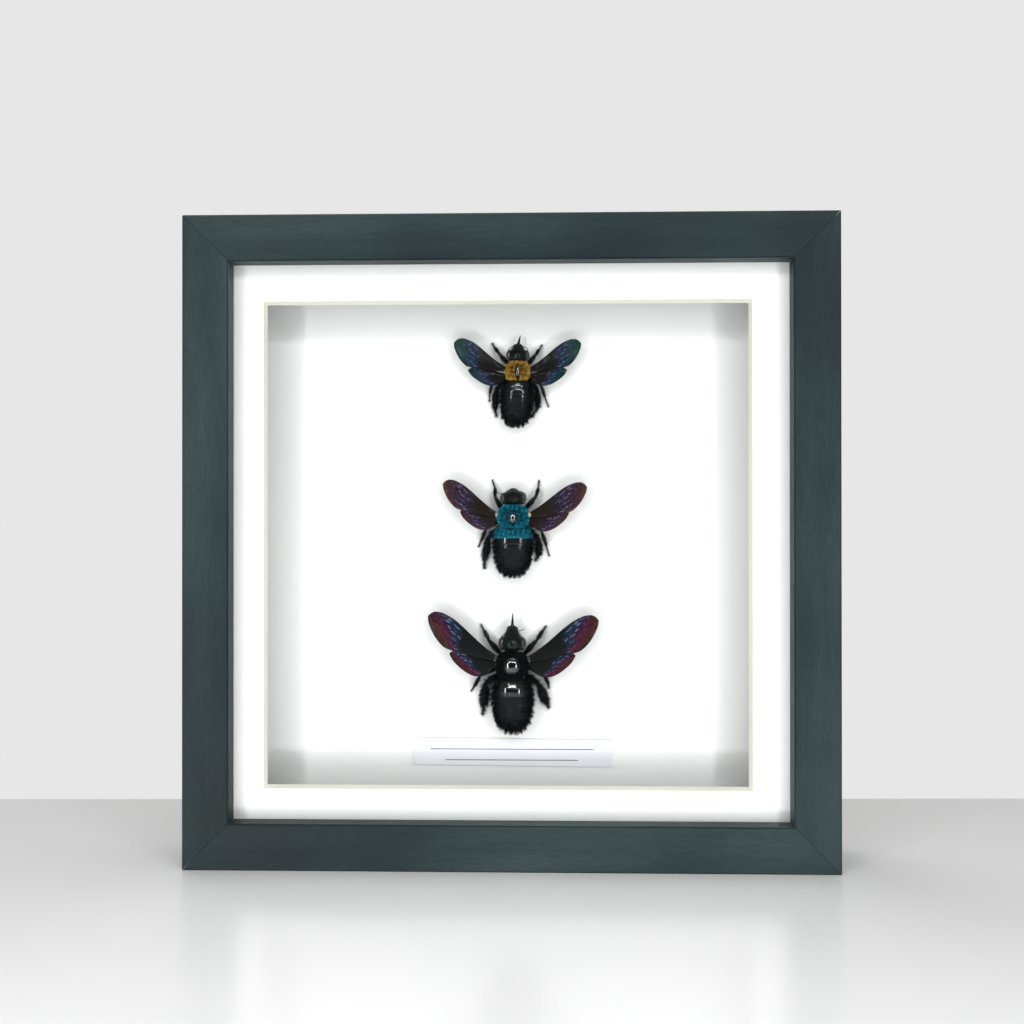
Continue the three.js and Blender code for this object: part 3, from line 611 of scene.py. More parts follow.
bees = {
    "yellow_bee": {
        "place": (2.05, 158.3),
        "thorax": {"from": 3.4, "to": -3.7, "half": 4.35, "height": 5.3, "rise": 4.8},
        "bald": {"z": -0.6, "halfX": 0.62, "halfZ": 2.5},
        "head": {"outline": [(3.0, 2.3), (4.2, 3.2), (5.4, 3.45), (6.5, 3.0), (7.3, 2.2), (8.0, 1.4),
                             (8.8, 0.8)],
                 "eye": (2.85, 5.2, 1.0, 1.8),
                 "antennae": [[(-1.5, 8.2), (-3.2, 7.3), (-3.3, 6.6)],
                              [(2.2, 8.0), (4.0, 6.9), (3.1, 6.6)]],
                 "tongue": [(0, 8.6), (0.4, 10.2), (0.8, 12)]},
        "abdomen": {"from": -3.2, "to": -17.6, "lean": -0.7, "height": 5, "rise": 4.6, "fringe": 1.8,
                    "polish": (0.26, 0.17), "bulge": (-9.5, 0.0), "shine": (0.34, 0.07),
                    "outline": [(0, 4.2), (0.25, 5.2), (0.5, 5.1), (0.75, 4.6), (0.92, 3.3), (1, 1.2)]},
        "wingHeight": 6.6,
        "forewings": {"left": ((-3.9, 1.1), (-20.9, 9.4), 1.06),
                      "right": ((3.9, 0.8), (20.7, 9.1), 1.02)},
        "hindwings": {"left": ((-3.8, -0.95), (-16.4, 0.65), 0.9),
                      "right": ((3.9, -1.05), (16.2, 0.55), 0.92)},
        "legWidth": 0.8,
        "hindWidth": 1.35,
        "legs": {
            "fore_left": [(-2.6, 1.9, 2.6), (-6.3, 6.1, 3.0), (-7.6, 8.1, 1.8), (-8.4, 9.5, 0.8)],
            "fore_right": [(2.6, 1.7, 2.6), (5.8, 5.5, 3.0), (6.9, 7.2, 1.8), (7.75, 8.8, 0.8)],
            "mid_left": [(-2.6, -0.6, 2.6), (-8.4, -3.4, 3.6), (-9.3, -6.8, 1.8), (-9.5, -9.2, 0.75)],
            "mid_right": [(2.6, -0.6, 2.6), (7.5, -4.0, 3.8), (8.9, -8.2, 1.9), (10.0, -11.2, 0.75)],
            "hind_left": [(-2.6, -2.2, 2.2), (-6.9, -5.1, 2.7), (-7.8, -12.0, 1.7), (-7.2, -14.2, 0.75)],
            "hind_right": [(2.6, -2.2, 2.2), (6.4, -5.9, 2.6), (6.6, -11.6, 1.7), (4.7, -14.4, 0.75)],
        },
        "pile": "yellowHair",
        "cap": "shell",
        "seed": 11,
    },
    "blue_bee": {
        "place": (0.55, 110.7),
        "thorax": {"from": 3.9, "to": -4.4, "half": 5.6, "height": 6, "rise": 5.5},
        "bald": {"z": -1.1, "halfX": 0.95, "halfZ": 1.9},
        "head": {"outline": [(3.5, 2.6), (4.7, 3.65), (5.7, 3.95), (6.8, 3.6), (7.8, 2.7), (8.4, 1.6),
                             (8.75, 0.7)],
                 "eye": (3.2, 5.7, 1.2, 1.9),
                 "antennae": [[(-2.6, 7.6), (-4.6, 7.0), (-5.0, 7.8)],
                              [(2.2, 8.0), (3.6, 7.7), (4.2, 7.0)]],
                 "tongue": None},
        "abdomen": {"from": -3.9, "to": -19.5, "lean": -0.2, "height": 5.8, "rise": 5.3, "fringe": 1.9,
                    "polish": (0.27, 0.14), "bulge": (-9.5, 0.06), "shine": (0.42, 0.14),
                    "outline": [(0, 5.7), (0.18, 6.5), (0.45, 6.3), (0.7, 5.7), (0.9, 4.1), (1, 1.5)]},
        "wingHeight": 7.4,
        "forewings": {"left": ((-5.1, 0.95), (-23.0, 10.7), 0.97),
                      "right": ((5.1, 0.9), (24.1, 9.6), 0.97)},
        "hindwings": {"left": ((-5.0, -0.65), (-17.5, 1.6), 0.97),
                      "right": ((5.0, -0.75), (18.3, 1.1), 0.97)},
        "legWidth": 0.9,
        "hindWidth": 1.5,
        "legs": {
            "fore_left": [(-3.5, 1.8, 2.6), (-6.1, 6.3, 3.2), (-6.1, 9.0, 2.0), (-7.0, 11.6, 0.8)],
            "fore_right": [(3.5, 1.8, 2.6), (7.4, 6.3, 3.2), (8.2, 8.9, 2.0), (8.4, 11.4, 0.8)],
            "mid_left": [(-3.8, -0.8, 2.6), (-8.9, -4.0, 3.8), (-10.6, -8.0, 1.8), (-11.6, -10.0, 0.75)],
            "mid_right": [(3.8, -0.8, 2.6), (9.1, -4.5, 3.9), (10.8, -9.6, 1.9), (11.7, -13.0, 0.75)],
            "hind_left": [(-3.4, -2.9, 2.2), (-8.3, -6.9, 2.8), (-9.6, -14.5, 1.8), (-9.8, -16.9, 0.75)],
            "hind_right": [(3.4, -2.9, 2.2), (8.3, -7.6, 2.7), (8.4, -12.9, 1.8), (7.4, -14.5, 0.75)],
        },
        "pile": "blueHair",
        "cap": "cream",
        "seed": 23,
    },
    "black_bee": {
        "place": (0.2, 62.6),
        "thorax": {"from": 4.25, "to": -5.7, "half": 5.9, "height": 6.5, "rise": 6},
        "bald": {"z": -0.6, "halfX": 2.3, "halfZ": 2.6},
        "head": {"outline": [(3.8, 2.7), (4.9, 3.8), (6.1, 4.15), (7.6, 3.8), (9.0, 2.8), (10.2, 2.2),
                             (11.2, 1.7), (11.7, 0.9)],
                 "eye": (3.3, 6.3, 1.25, 2.3),
                 "antennae": [[(-1.9, 9.9), (-3.4, 8.9), (-3.9, 8.0)],
                              [(1.9, 10.5), (3.2, 10.5), (3.9, 11.1)]],
                 "tongue": [(0, 11.3), (0.05, 13.6), (0.1, 16.1)]},
        "abdomen": {"from": -5.1, "to": -22.4, "lean": 0.15, "height": 6, "rise": 5.6, "fringe": 2.4,
                    "polish": (0.21, 0.10), "bulge": (-8.4, 0.24), "shine": (0.7, 0.04),
                    "outline": [(0, 4.9), (0.2, 6.2), (0.5, 6.4), (0.75, 5.6), (0.92, 3.7), (1, 1.2)]},
        "wingHeight": 7.9,
        "forewings": {"left": ((-5.1, 2.4), (-27.5, 15.4), 0.93),
                      "right": ((5.2, 2.15), (28.2, 14.2), 0.93)},
        "hindwings": {"left": ((-5.3, 0.4), (-20.6, 3.2), 0.97),
                      "right": ((5.4, 0.25), (20.7, 2.6), 0.97)},
        "legWidth": 1.05,
        "hindWidth": 1.9,
        "legs": {
            "fore_left": [(-3.8, 2.5, 2.8), (-7.7, 7.0, 3.4), (-9.3, 9.9, 2.0), (-10.4, 11.8, 0.85)],
            "fore_right": [(3.8, 2.5, 2.8), (7.9, 7.0, 3.4), (9.8, 9.9, 2.0), (11.0, 11.4, 0.85)],
            "mid_left": [(-4.0, -1.2, 2.7), (-10.4, -4.3, 3.8), (-12.5, -8.1, 1.9), (-13.7, -9.9, 0.8)],
            "mid_right": [(4.0, -1.2, 2.7), (10.2, -3.6, 3.8), (11.8, -7.2, 1.9), (12.0, -8.9, 0.8)],
            "hind_left": [(-3.6, -3.8, 2.4), (-8.9, -6.9, 3.2), (-9.6, -14.8, 2.1), (-9.9, -17.3, 0.8)],
            "hind_right": [(3.6, -3.8, 2.4), (8.6, -7.3, 3.2), (11.2, -13.6, 2.1), (11.9, -15.2, 0.8)],
        },
        "pile": "blackHair",
        "cap": "greyGreen",
        "seed": 37,
    },
}

belly = 0.3  # lowest height of a body off the board


def spot(bee, x, z, height):
    return Vector((bee["place"][0] + x, boardY / mm - height, bee["place"][1] + z)) * mm


def spots(bee, places):
    # the same for an array of right, up, height
    right, up, height = np.asarray(places, float).T
    return np.column_stack((bee["place"][0] + right, boardY / mm - height, bee["place"][1] + up)) * mm


def fromWorld(bee, world):
    # right, up and height of places in metres
    across, depth, up = (world / mm).T
    return np.column_stack((across - bee["place"][0], up - bee["place"][1], boardY / mm - depth))


def beePlaces(bee, thing):
    return fromWorld(bee, points(thing))


def sharesAlong(form, places):
    # 0 at the front of an abdomen and 1 at its tip
    return (places[:, 1] - form["from"]) / (form["to"] - form["from"])


def widthAlong(outline, share):
    places, widths = zip(*outline)
    return np.interp(share, places, widths)


def inOval(bald, places):
    # below 1 inside the bare middle of a thorax
    return (places[:, 0] / bald["halfX"]) ** 2 + ((places[:, 1] - bald["z"]) / bald["halfZ"]) ** 2


def squared(across, up, power):
    # push a round section towards a square one
    reach = np.hypot(across, up) + 1e-9
    return [reach * np.sign(part) * np.abs(part / reach) ** power for part in (across, up)]


# A body drawn out ring by ring. Each ring: x, z, height, half width, half height.
def drawBody(name, bee, rings, sides=40):
    x, z, height, halfWidth, halfHeight = rings[0]
    start = spot(bee, x, z, height)
    bpy.ops.object.select_all(action="DESELECT")
    bpy.ops.mesh.primitive_circle_add(vertices=sides, radius=1, fill_type="NGON", location=start)
    thing = bpy.context.object
    thing.scale = (halfWidth * mm, halfHeight * mm, 1)
    settle(thing, name)
    bpy.ops.object.mode_set(mode="EDIT")
    bpy.ops.mesh.select_all(action="SELECT")
    for before, after in zip(rings, rings[1:]):
        start, end = spot(bee, *before[:3]), spot(bee, *after[:3])
        growth = (after[3] / before[3], after[4] / before[4], 1)
        bpy.ops.mesh.extrude_region_move(TRANSFORM_OT_translate={"value": end - start})
        bpy.ops.transform.resize(value=growth, center_override=end)
    bpy.ops.object.mode_set(mode="OBJECT")
    faceOutwards(thing)
    renumber(thing)
    return thing


def flattenBelly(bee, thing):
    places = beePlaces(bee, thing)
    low = places[:, 2] < belly
    places[low, 2] = belly + 0.05 * np.tanh(places[low, 2] - belly)
    setPoints(thing, spots(bee, places))


# A round tube through points with a radius at each, as a curve turned into a mesh.
def drawTube(name, places, radii, sides=8, fineness=3):
    curve = bpy.data.curves.new(name, "CURVE")
    curve.dimensions = "3D"
    curve.bevel_depth = 1 * mm
    curve.bevel_resolution = max(0, (sides - 4) // 2)
    curve.use_fill_caps = True
    curve.resolution_u = fineness
    spline = curve.splines.new("BEZIER")
    spline.bezier_points.add(len(places) - 1)
    for knot, place, radius in zip(spline.bezier_points, places, radii):
        knot.co = place
        knot.radius = radius
        knot.handle_left_type = knot.handle_right_type = "AUTO"
    thing = bpy.data.objects.new(name, curve)
    scene.collection.objects.link(thing)
    pick(thing)
    bpy.ops.object.convert(target="MESH")
    smooth(bpy.context.object)
    return bpy.context.object


def drawBall(name, centre, radii, segments=24, rings=16):
    bpy.ops.object.select_all(action="DESELECT")
    bpy.ops.mesh.primitive_uv_sphere_add(segments=segments, ring_count=rings, radius=1, location=centre)
    ball = bpy.context.object
    ball.scale = [radius * mm for radius in radii]
    settle(ball, name)
    smooth(ball)
    return ball


# Many thin tapering hairs as one mesh: each has a three-sided root, a bent middle and a point.
def drawHairs(name, roots, middles, tips, radius, tones, look):
    count = len(roots)
    run = tips - roots
    run /= np.linalg.norm(run, axis=1, keepdims=True)
    side = np.cross(run, np.array((0.31, 0.17, 0.93)))
    side /= np.linalg.norm(side, axis=1, keepdims=True)
    across = np.cross(run, side)
    radius = np.broadcast_to(np.asarray(radius, float), (count,))[:, None] * mm
    rings = []
    for centre, share in ((roots, 1.0), (middles, 0.75)):
        for corner in range(3):
            angle = 2 * math.pi * corner / 3
            rings.append(centre + radius * share * (math.cos(angle) * side + math.sin(angle) * across))
    places = np.stack((*rings, tips), axis=1).reshape(-1, 3)
    one = [(0, 2, 1), (3, 4, 6), (4, 5, 6), (5, 3, 6),
           (0, 1, 4), (0, 4, 3), (1, 2, 5), (1, 5, 4), (2, 0, 3), (2, 3, 5)]
    faces = (np.array(one)[None] + 7 * np.arange(count)[:, None, None]).reshape(-1, 3)
    mesh = bpy.data.meshes.new(name)
    mesh.from_pydata(places.tolist(), [], faces.tolist())
    along = np.tile([0, 0, 0, 0.5, 0.5, 0.5, 1], count)
    thing = bpy.data.objects.new(name, mesh)
    storeValues(thing, "along", np.array(along))
    storeValues(thing, "tone", np.repeat(tones, 7))
    scene.collection.objects.link(thing)
    mesh.materials.append(look)
    smooth(thing)
    return thing


def scatter(thing, count, rng):
    # points spread evenly over a mesh, with the way its surface faces there
    mesh = thing.data
    mesh.calc_loop_triangles()
    corners = np.zeros(len(mesh.loop_triangles) * 3, int)
    mesh.loop_triangles.foreach_get("vertices", corners)
    corners = points(thing)[corners.reshape(-1, 3)]
    normals = np.cross(corners[:, 1] - corners[:, 0], corners[:, 2] - corners[:, 0])
    areas = np.linalg.norm(normals, axis=1)
    chosen = rng.choice(len(areas), size=count, p=areas / areas.sum())
    first, second = np.sqrt(rng.random(count)), rng.random(count)
    weights = np.column_stack((1 - first, first * (1 - second), first * second))
    places = (corners[chosen] * weights[:, :, None]).sum(axis=1)
    return places, normals[chosen] / areas[chosen][:, None]


# Hair that grows from a mesh where keep says so. Sweep is in right, up, height. Lean turns whole tufts,
# and wild turns each hair by itself.
def growHair(name, bee, thing, count, length, sweep, look, rng, keep=None, radius=0.028, wild=0.25,
             lift=1.0, paler=None, clump=None):
    roots, normals = scatter(thing, count, rng)
    local = fromWorld(bee, roots)
    if keep is not None:
        kept = keep(local, rng)
        roots, normals, local = roots[kept], normals[kept], local[kept]
    drift = np.array((sweep[0], -sweep[2], sweep[1]), float)
    right, up = local[:, 0], local[:, 1]
    tuft = np.sin(2.7 * right + 1.9 * up + bee["seed"]) * np.sin(3.3 * up - 1.6 * right)
    lean = np.column_stack((np.cos(4.1 * right + up), 0 * up, np.cos(3.7 * up - right))) * (clump or wild)
    way = normals * lift + drift + lean + rng.normal(0, wild, roots.shape)
    way /= np.linalg.norm(way, axis=1, keepdims=True)
    reach = length * mm * rng.uniform(0.6, 1.0, (len(roots), 1))
    tips = roots + way * reach
    floorLine = boardY - 0.25 * mm  # hairs stay clear of the board
    tips[:, 1] = np.minimum(tips[:, 1], floorLine)
    middles = (roots + tips) / 2 + normals * reach * 0.12
    middles[:, 1] = np.minimum(middles[:, 1], floorLine)
    roots = roots - normals * 0.05 * mm
    tones = 0.45 * rng.random(len(roots)) + 0.27 + 0.38 * tuft
    if paler is not None:
        tones += paler(local)
    return drawHairs(name, roots, middles, tips, radius, np.clip(tones, 0, 1), look)


def ride(thing):
    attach(thing, "root")


def rideAndReplace(thing, slotName, *nodes):
    ride(thing)
    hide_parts(*nodes)


# Thorax

pile = {
    "skin": 0.85,  # the shell's share of the solid, the rest is hair
    "count": 12000,
    "length": 1.0,
    "radius": 0.030,
    "square": 0.8,
    "full": 2.6,  # over 2 makes the ends blunt
    "rings": 12,
    "boss": 0.4,  # how far the polished middle stands up through the hair
    "groove": 0.35,  # depth of the line before the small rear plate
}


def thoraxRings(thorax):
    middle = (thorax["from"] + thorax["to"]) / 2
    half = (thorax["from"] - thorax["to"]) / 2 * pile["skin"]
    rings = []
    for i in range(pile["rings"]):
        share = 0.01 + 0.98 * i / (pile["rings"] - 1)
        swell = (1 - abs(2 * share - 1) ** pile["full"]) ** (1 / pile["full"])
        rings.append((0, middle + half * (1 - 2 * share), thorax["height"],
                      thorax["half"] * pile["skin"] * swell, thorax["rise"] * pile["skin"] * swell))
    return rings


def makeThorax(name, bee, rng):
    thorax, bald = bee["thorax"], bee["bald"]
    skin = drawBody(name + "_thorax", bee, thoraxRings(thorax))
    applyModifier(skin, "SUBSURF", levels=2, render_levels=2)
    places = beePlaces(bee, skin)
    across, up = squared(places[:, 0] / thorax["half"], (places[:, 2] - thorax["height"]) / thorax["rise"],
                         pile["square"])
    places[:, 0] = thorax["half"] * across
    places[:, 2] = thorax["height"] + thorax["rise"] * up
    upper = places[:, 2] > thorax["height"]
    near = np.clip(1 - (places[:, 0] / (bald["halfX"] * 1.3)) ** 2
                   - ((places[:, 1] - bald["z"]) / (bald["halfZ"] * 1.2)) ** 2, 0, 1)
    places[:, 2] += np.where(upper, pile["boss"] * near, 0)
    groove = np.exp(-((places[:, 1] + 0.62 * abs(thorax["to"])) / 0.22) ** 2)
    places[:, 2] -= np.where(upper, pile["groove"] * groove, 0)
    setPoints(skin, spots(bee, places))
    flattenBelly(bee, skin)
    smooth(skin)
    skin.data.materials.append(looks["thoraxShell"])
    places = beePlaces(bee, skin)
    bare = np.clip((1.3 - inOval(bald, places)) / 0.4, 0, 1)
    storeValues(skin, "polish", np.where(places[:, 2] > thorax["height"], bare, 0))
    rideAndReplace(skin, "black_shell", name + "_thorax")

    def offBald(local, rng):
        bare = (inOval(bald, local) < rng.uniform(0.9, 1.25, len(local))) & (local[:, 2] > thorax["height"])
        return ~bare & (local[:, 2] > 1.5)

    def rearMargin(local):
        return 0.4 * np.clip((thorax["to"] * 0.55 - local[:, 1]) / 0.8, 0, 1)

    fur = growHair(name + "_thorax_pile", bee, skin, pile["count"], pile["length"], (0, -0.25, 0.0),
                   looks[bee["pile"]], rng, offBald, pile["radius"], 0.3, 1.0, rearMargin)
    ride(fur)


# Abdomen

plates = {
    "count": 6,
    "step": 0.16,  # how far a plate stands over the next one
    "profile": ((0.0, -1.0), (0.16, -0.35), (0.5, 0.1), (0.84, 0.5), (0.93, 0.55), (0.97, 0.1)),
    "shell": 0.92,  # the shell's share of the solid's width
    "square": 0.84,
    "fall": 1.2,  # how far the tip lies below the front
    "margin": (0.45, 0.95, 0.06),  # gloss, place and width of the bright line at a plate's rear edge
}
fringe = {"count": 10500, "radius": 0.042, "wild": 0.2, "clump": 0.5}
down = {"count": 2600, "length": 0.5, "radius": 0.016}


def abdomenRings(form, widest):
    rings = []
    for plate in range(plates["count"]):
        for edge, step in plates["profile"]:
            share = (plate + edge) / plates["count"]
            width = widthAlong(form["outline"], share) * plates["shell"] + step * plates["step"]
            rings.append((form["lean"] * share, form["from"] + (form["to"] - form["from"]) * share,
                          form["height"] - plates["fall"] * share, width, form["rise"] * width / widest))
    tip = form["outline"][-1][1] * 0.8
    rings.append((form["lean"], form["to"] + 0.5, form["height"] - 1.4, tip, form["rise"] * tip / widest))
    return rings


def makeAbdomen(name, bee, rng):
    form = bee["abdomen"]
    widest = max(width for _, width in form["outline"])
    shell = drawBody(name + "_abdomen", bee, abdomenRings(form, widest), 48)
    applyModifier(shell, "SUBSURF", levels=1, render_levels=1)
    places = beePlaces(bee, shell)
    shares = sharesAlong(form, places)
    middle = form["height"] - plates["fall"] * shares
    across, up = squared(places[:, 0] - form["lean"] * shares,
                         (places[:, 2] - middle) * widest / form["rise"], plates["square"])
    places[:, 0] = form["lean"] * shares + across
    places[:, 2] = middle + up * form["rise"] / widest
    bulgeZ, bulge = form["bulge"]
    places[:, 2] += bulge * np.exp(-((places[:, 1] - bulgeZ) / 1.5) ** 2) * (places[:, 2] > middle)
    setPoints(shell, spots(bee, places))
    flattenBelly(bee, shell)
    smooth(shell)
    shine, blur = form["shine"]
    shell.data.materials.append(shellLook(name + " plates", black, 0.10, 0.003, shine, 2.1, True, blur))
    places = beePlaces(bee, shell)
    shares = sharesAlong(form, places)
    brightest, spread = form["polish"]
    gloss, edge, width = plates["margin"]
    polish = np.exp(-((shares - brightest) / spread) ** 4)
    margins = gloss * np.exp(-(((shares * plates["count"]) % 1 - edge) / width) ** 2)
    polish = np.maximum(polish, margins) * np.exp(-(places[:, 0] / (0.55 * widest)) ** 4)
    storeValues(shell, "polish", polish)
    rideAndReplace(shell, "black_shell", name + "_abdomen")

    def sidesAndTip(local, rng):
        share = sharesAlong(form, local)
        out = np.abs(local[:, 0] - form["lean"] * share) / widthAlong(form["outline"], share)
        chance = np.clip((out - 0.62) * 3.2, 0, 1) + np.clip((share - 0.72) * 3.0, 0, 1) * 0.9
        return (rng.random(len(local)) < chance) & (local[:, 2] > 1.0)

    def upperSide(local, rng):
        return (local[:, 2] > form["height"]) & (rng.random(len(local)) < 0.8)

    long = growHair(name + "_abdomen_fringe", bee, shell, fringe["count"], form["fringe"], (0, -0.9, 0.0),
                    looks["blackHair"], rng, sidesAndTip, fringe["radius"], fringe["wild"],
                    clump=fringe["clump"])
    short = growHair(name + "_abdomen_down", bee, shell, down["count"], down["length"], (0, -1.2, 0),
                     looks["blackHair"], rng, upperSide, down["radius"], 0.2, 0.5)
    ride(joinUp(name + "_abdomen_fringe", [long, short]))
    if name == "blue_bee":
        makeSkirt(name, bee, shell, rng)


skirt = {"from": -3.2, "to": -7.6, "count": 34000, "length": 1.15}


def makeSkirt(name, bee, shell, rng):
    # blue hair on the first plate of the abdomen, cut straight at its rear edge
    def firstPlate(local, rng):
        return (local[:, 1] < skirt["from"]) & (local[:, 1] > skirt["to"] + 0.75) & (local[:, 2] > 3.0)

    def paleHem(local):
        return 0.5 * np.clip((skirt["to"] + 1.4 - local[:, 1]) / 0.5, 0, 1)

    fur = growHair(name + "_abdomen_pile", bee, shell, skirt["count"], skirt["length"], (0, -0.9, 0),
                   looks["blueHair"], rng, firstPlate, 0.03, 0.18, 0.9, paleHem)
    ride(fur)


# Head, with eyes, simple eyes, jaws, antennae and tongue

face = {
    "drop": 0.6,  # the skull and the eyes lie this far under the middle of the thorax
    "nod": 0.12,  # and each ring this much lower than the one behind it
    "wide": 0.94,
    "deep": 0.82,
    "simpleEyes": ((-0.55, 0.35), (0.55, 0.35), (0, 0.8)),
    "simpleEye": (0.24, 0.24, 0.24),
    "jaw": (0.5, 0.42, 0.28, 0.08),
    "tongue": (0.62, 0.36, 0.14),
    "hairs": 2400,
}
flagellum = {"segments": 11, "radius": 0.15, "pinch": 0.62}


def makeHead(name, bee, rng):
    head, height = bee["head"], bee["thorax"]["height"]
    outline = head["outline"]
    rings = [(0, z, height - face["drop"] - face["nod"] * i, width * face["wide"], width * face["deep"])
             for i, (z, width) in enumerate(outline)]
    skull = drawBody(name + "_head", bee, rings, 32)
    applyModifier(skull, "SUBSURF", levels=2, render_levels=2)
    flattenBelly(bee, skull)
    smooth(skull)
    skull.data.materials.append(looks["greenShell"])
    things = [skull]

    def add(thing, look):
        thing.data.materials.append(looks[look])
        things.append(thing)

    eyeX, eyeZ, eyeRadius, eyeLength = head["eye"]
    front, frontWidth = outline[-1]
    top = height - face["drop"] + outline[2][1] * face["deep"]
    for side in (-1, 1):
        eye = spot(bee, side * eyeX, eyeZ, height - face["drop"])
        add(drawBall("eye", eye, (eyeRadius, eyeRadius * 1.25, eyeLength)), "eye")
    for x, z in face["simpleEyes"]:
        place = spot(bee, x, outline[1][0] + z + 0.4, top - 0.25)
        add(drawBall("simple eye", place, face["simpleEye"], 12, 8), "eye")
    for side in (-1, 1):
        jaw = [(side * frontWidth * 1.5, front - 1.1), (side * frontWidth * 1.5, front - 0.4),
               (side * 0.35, front + 0.15), (side * -0.2, front + 0.25)]
        places = [spot(bee, x, z, height - 1.5 - 0.1 * i) for i, (x, z) in enumerate(jaw)]
        add(drawTube("jaw", places, face["jaw"], 10), "shell")
    for antenna in head["antennae"]:
        things.append(makeAntenna(bee, antenna, height + 0.2))
    if head["tongue"]:
        places = [spot(bee, x, z, height - 1.6 - 0.5 * i) for i, (x, z) in enumerate(head["tongue"])]
        add(drawTube("tongue", places, face["tongue"], 10, 6), "shell")

    def upperSide(local, rng):
        return local[:, 2] > 2.0

    # grown before the skull is joined to the rest
    fur = growHair(name + "_head_hair", bee, skull, face["hairs"], 0.6, (0, 0.3, 0), looks["blackHair"],
                   rng, upperSide, 0.018, 0.35)
    rideAndReplace(joinUp(name + "_head", things), "black_shell", name + "_head")
    ride(fur)


def makeAntenna(bee, antenna, height):
    base, elbow, tip = antenna
    start, bend = spot(bee, *base, height), spot(bee, *elbow, height - 0.5)
    end = spot(bee, *tip, height - 1.1)
    root = spot(bee, base[0] * 0.7, base[1] - 0.6, height - 0.8)
    scape = drawTube("scape", [root, start], [0.15, 0.12], 8)
    places, radii = [], []
    for i in range(flagellum["segments"] * 2 + 1):
        share = i / (flagellum["segments"] * 2)
        places.append((1 - share) ** 2 * start + 2 * share * (1 - share) * bend + share ** 2 * end)
        radii.append(flagellum["radius"] * (flagellum["pinch"] if i % 2 == 0 else 1))
    beads = drawTube("flagellum", places, radii, 8, 2)
    for thing in (scape, beads):
        thing.data.materials.append(looks["shell"])
    return joinUp("antenna", [scape, beads])


# Legs

limb = {
    # shares of a joint's length and of its width
    "thigh": ((0, 0.45), (0.15, 0.62), (0.5, 0.85), (0.85, 0.6), (1, 0.42)),
    "toes": 9,
    "pinch": 0.62,
    "hook": ((0, 0, 0.13), (0.3, 0.3, 0.09), (0.45, 0.12, 0.03)),  # run, out and radius in mm
    "hairs": 1000,
    "hairLength": 0.6,
    "brushHairs": 2200,  # the hind legs carry brushes
}


def makeLeg(name, legName, bee, rng):
    hip, knee, ankle, claw = (spot(bee, *place) for place in bee["legs"][legName])
    hind = legName.startswith("hind")
    thick = bee["legWidth"]
    hairy = (bee["hindWidth"] if hind else thick) * 0.78
    shares, widths = zip(*limb["thigh"])
    thigh = drawTube("thigh", [hip.lerp(knee, share) for share in shares],
                     [width * thick for width in widths], 12)
    tibia = drawTube("shin", [knee.lerp(ankle, share) for share in (0, 0.12, 0.5, 0.9, 1)],
                     [0.4 * thick, 0.5 * hairy, 0.8 * hairy, 0.66 * hairy, 0.4 * thick], 12)
    toes, radii = [], []
    for i in range(limb["toes"]):
        toes.append(ankle.lerp(claw, i / (limb["toes"] - 1)))
        radii.append(thick * (0.36 - 0.015 * i) * (limb["pinch"] if i % 2 else 1))
    foot = drawTube("foot", toes, radii, 10, 2)
    run = (claw - ankle).normalized()
    out = run.cross(Vector((0, 1, 0))).normalized()
    parts = [thigh, tibia, foot]
    for side in (-1, 1):
        hook = [claw + run * ahead * mm + out * side * apart * mm for ahead, apart, _ in limb["hook"]]
        parts.append(drawTube("hook", hook, [radius for _, _, radius in limb["hook"]], 6))
    for part in parts:
        part.data.materials.append(looks["shell"])
    leg = joinUp(name + "_leg_" + legName, parts)
    rideAndReplace(leg, "black_shell", name + "_leg_" + legName)
    many = limb["brushHairs"] if hind else limb["hairs"]
    length = 0.8 * bee["hindWidth"] if hind else limb["hairLength"]
    sweep = (ankle - knee).normalized() * 0.9
    fur = growHair(name + "_leg_hair_" + legName, bee, leg, many, length, (sweep.x, sweep.z, 0),
                   looks["blackHair"], rng, None, 0.03, 0.2, clump=0.4)
    ride(fur)


# Wings. Outlines are in shares of the wing's length: along it, and across it towards the rear edge.

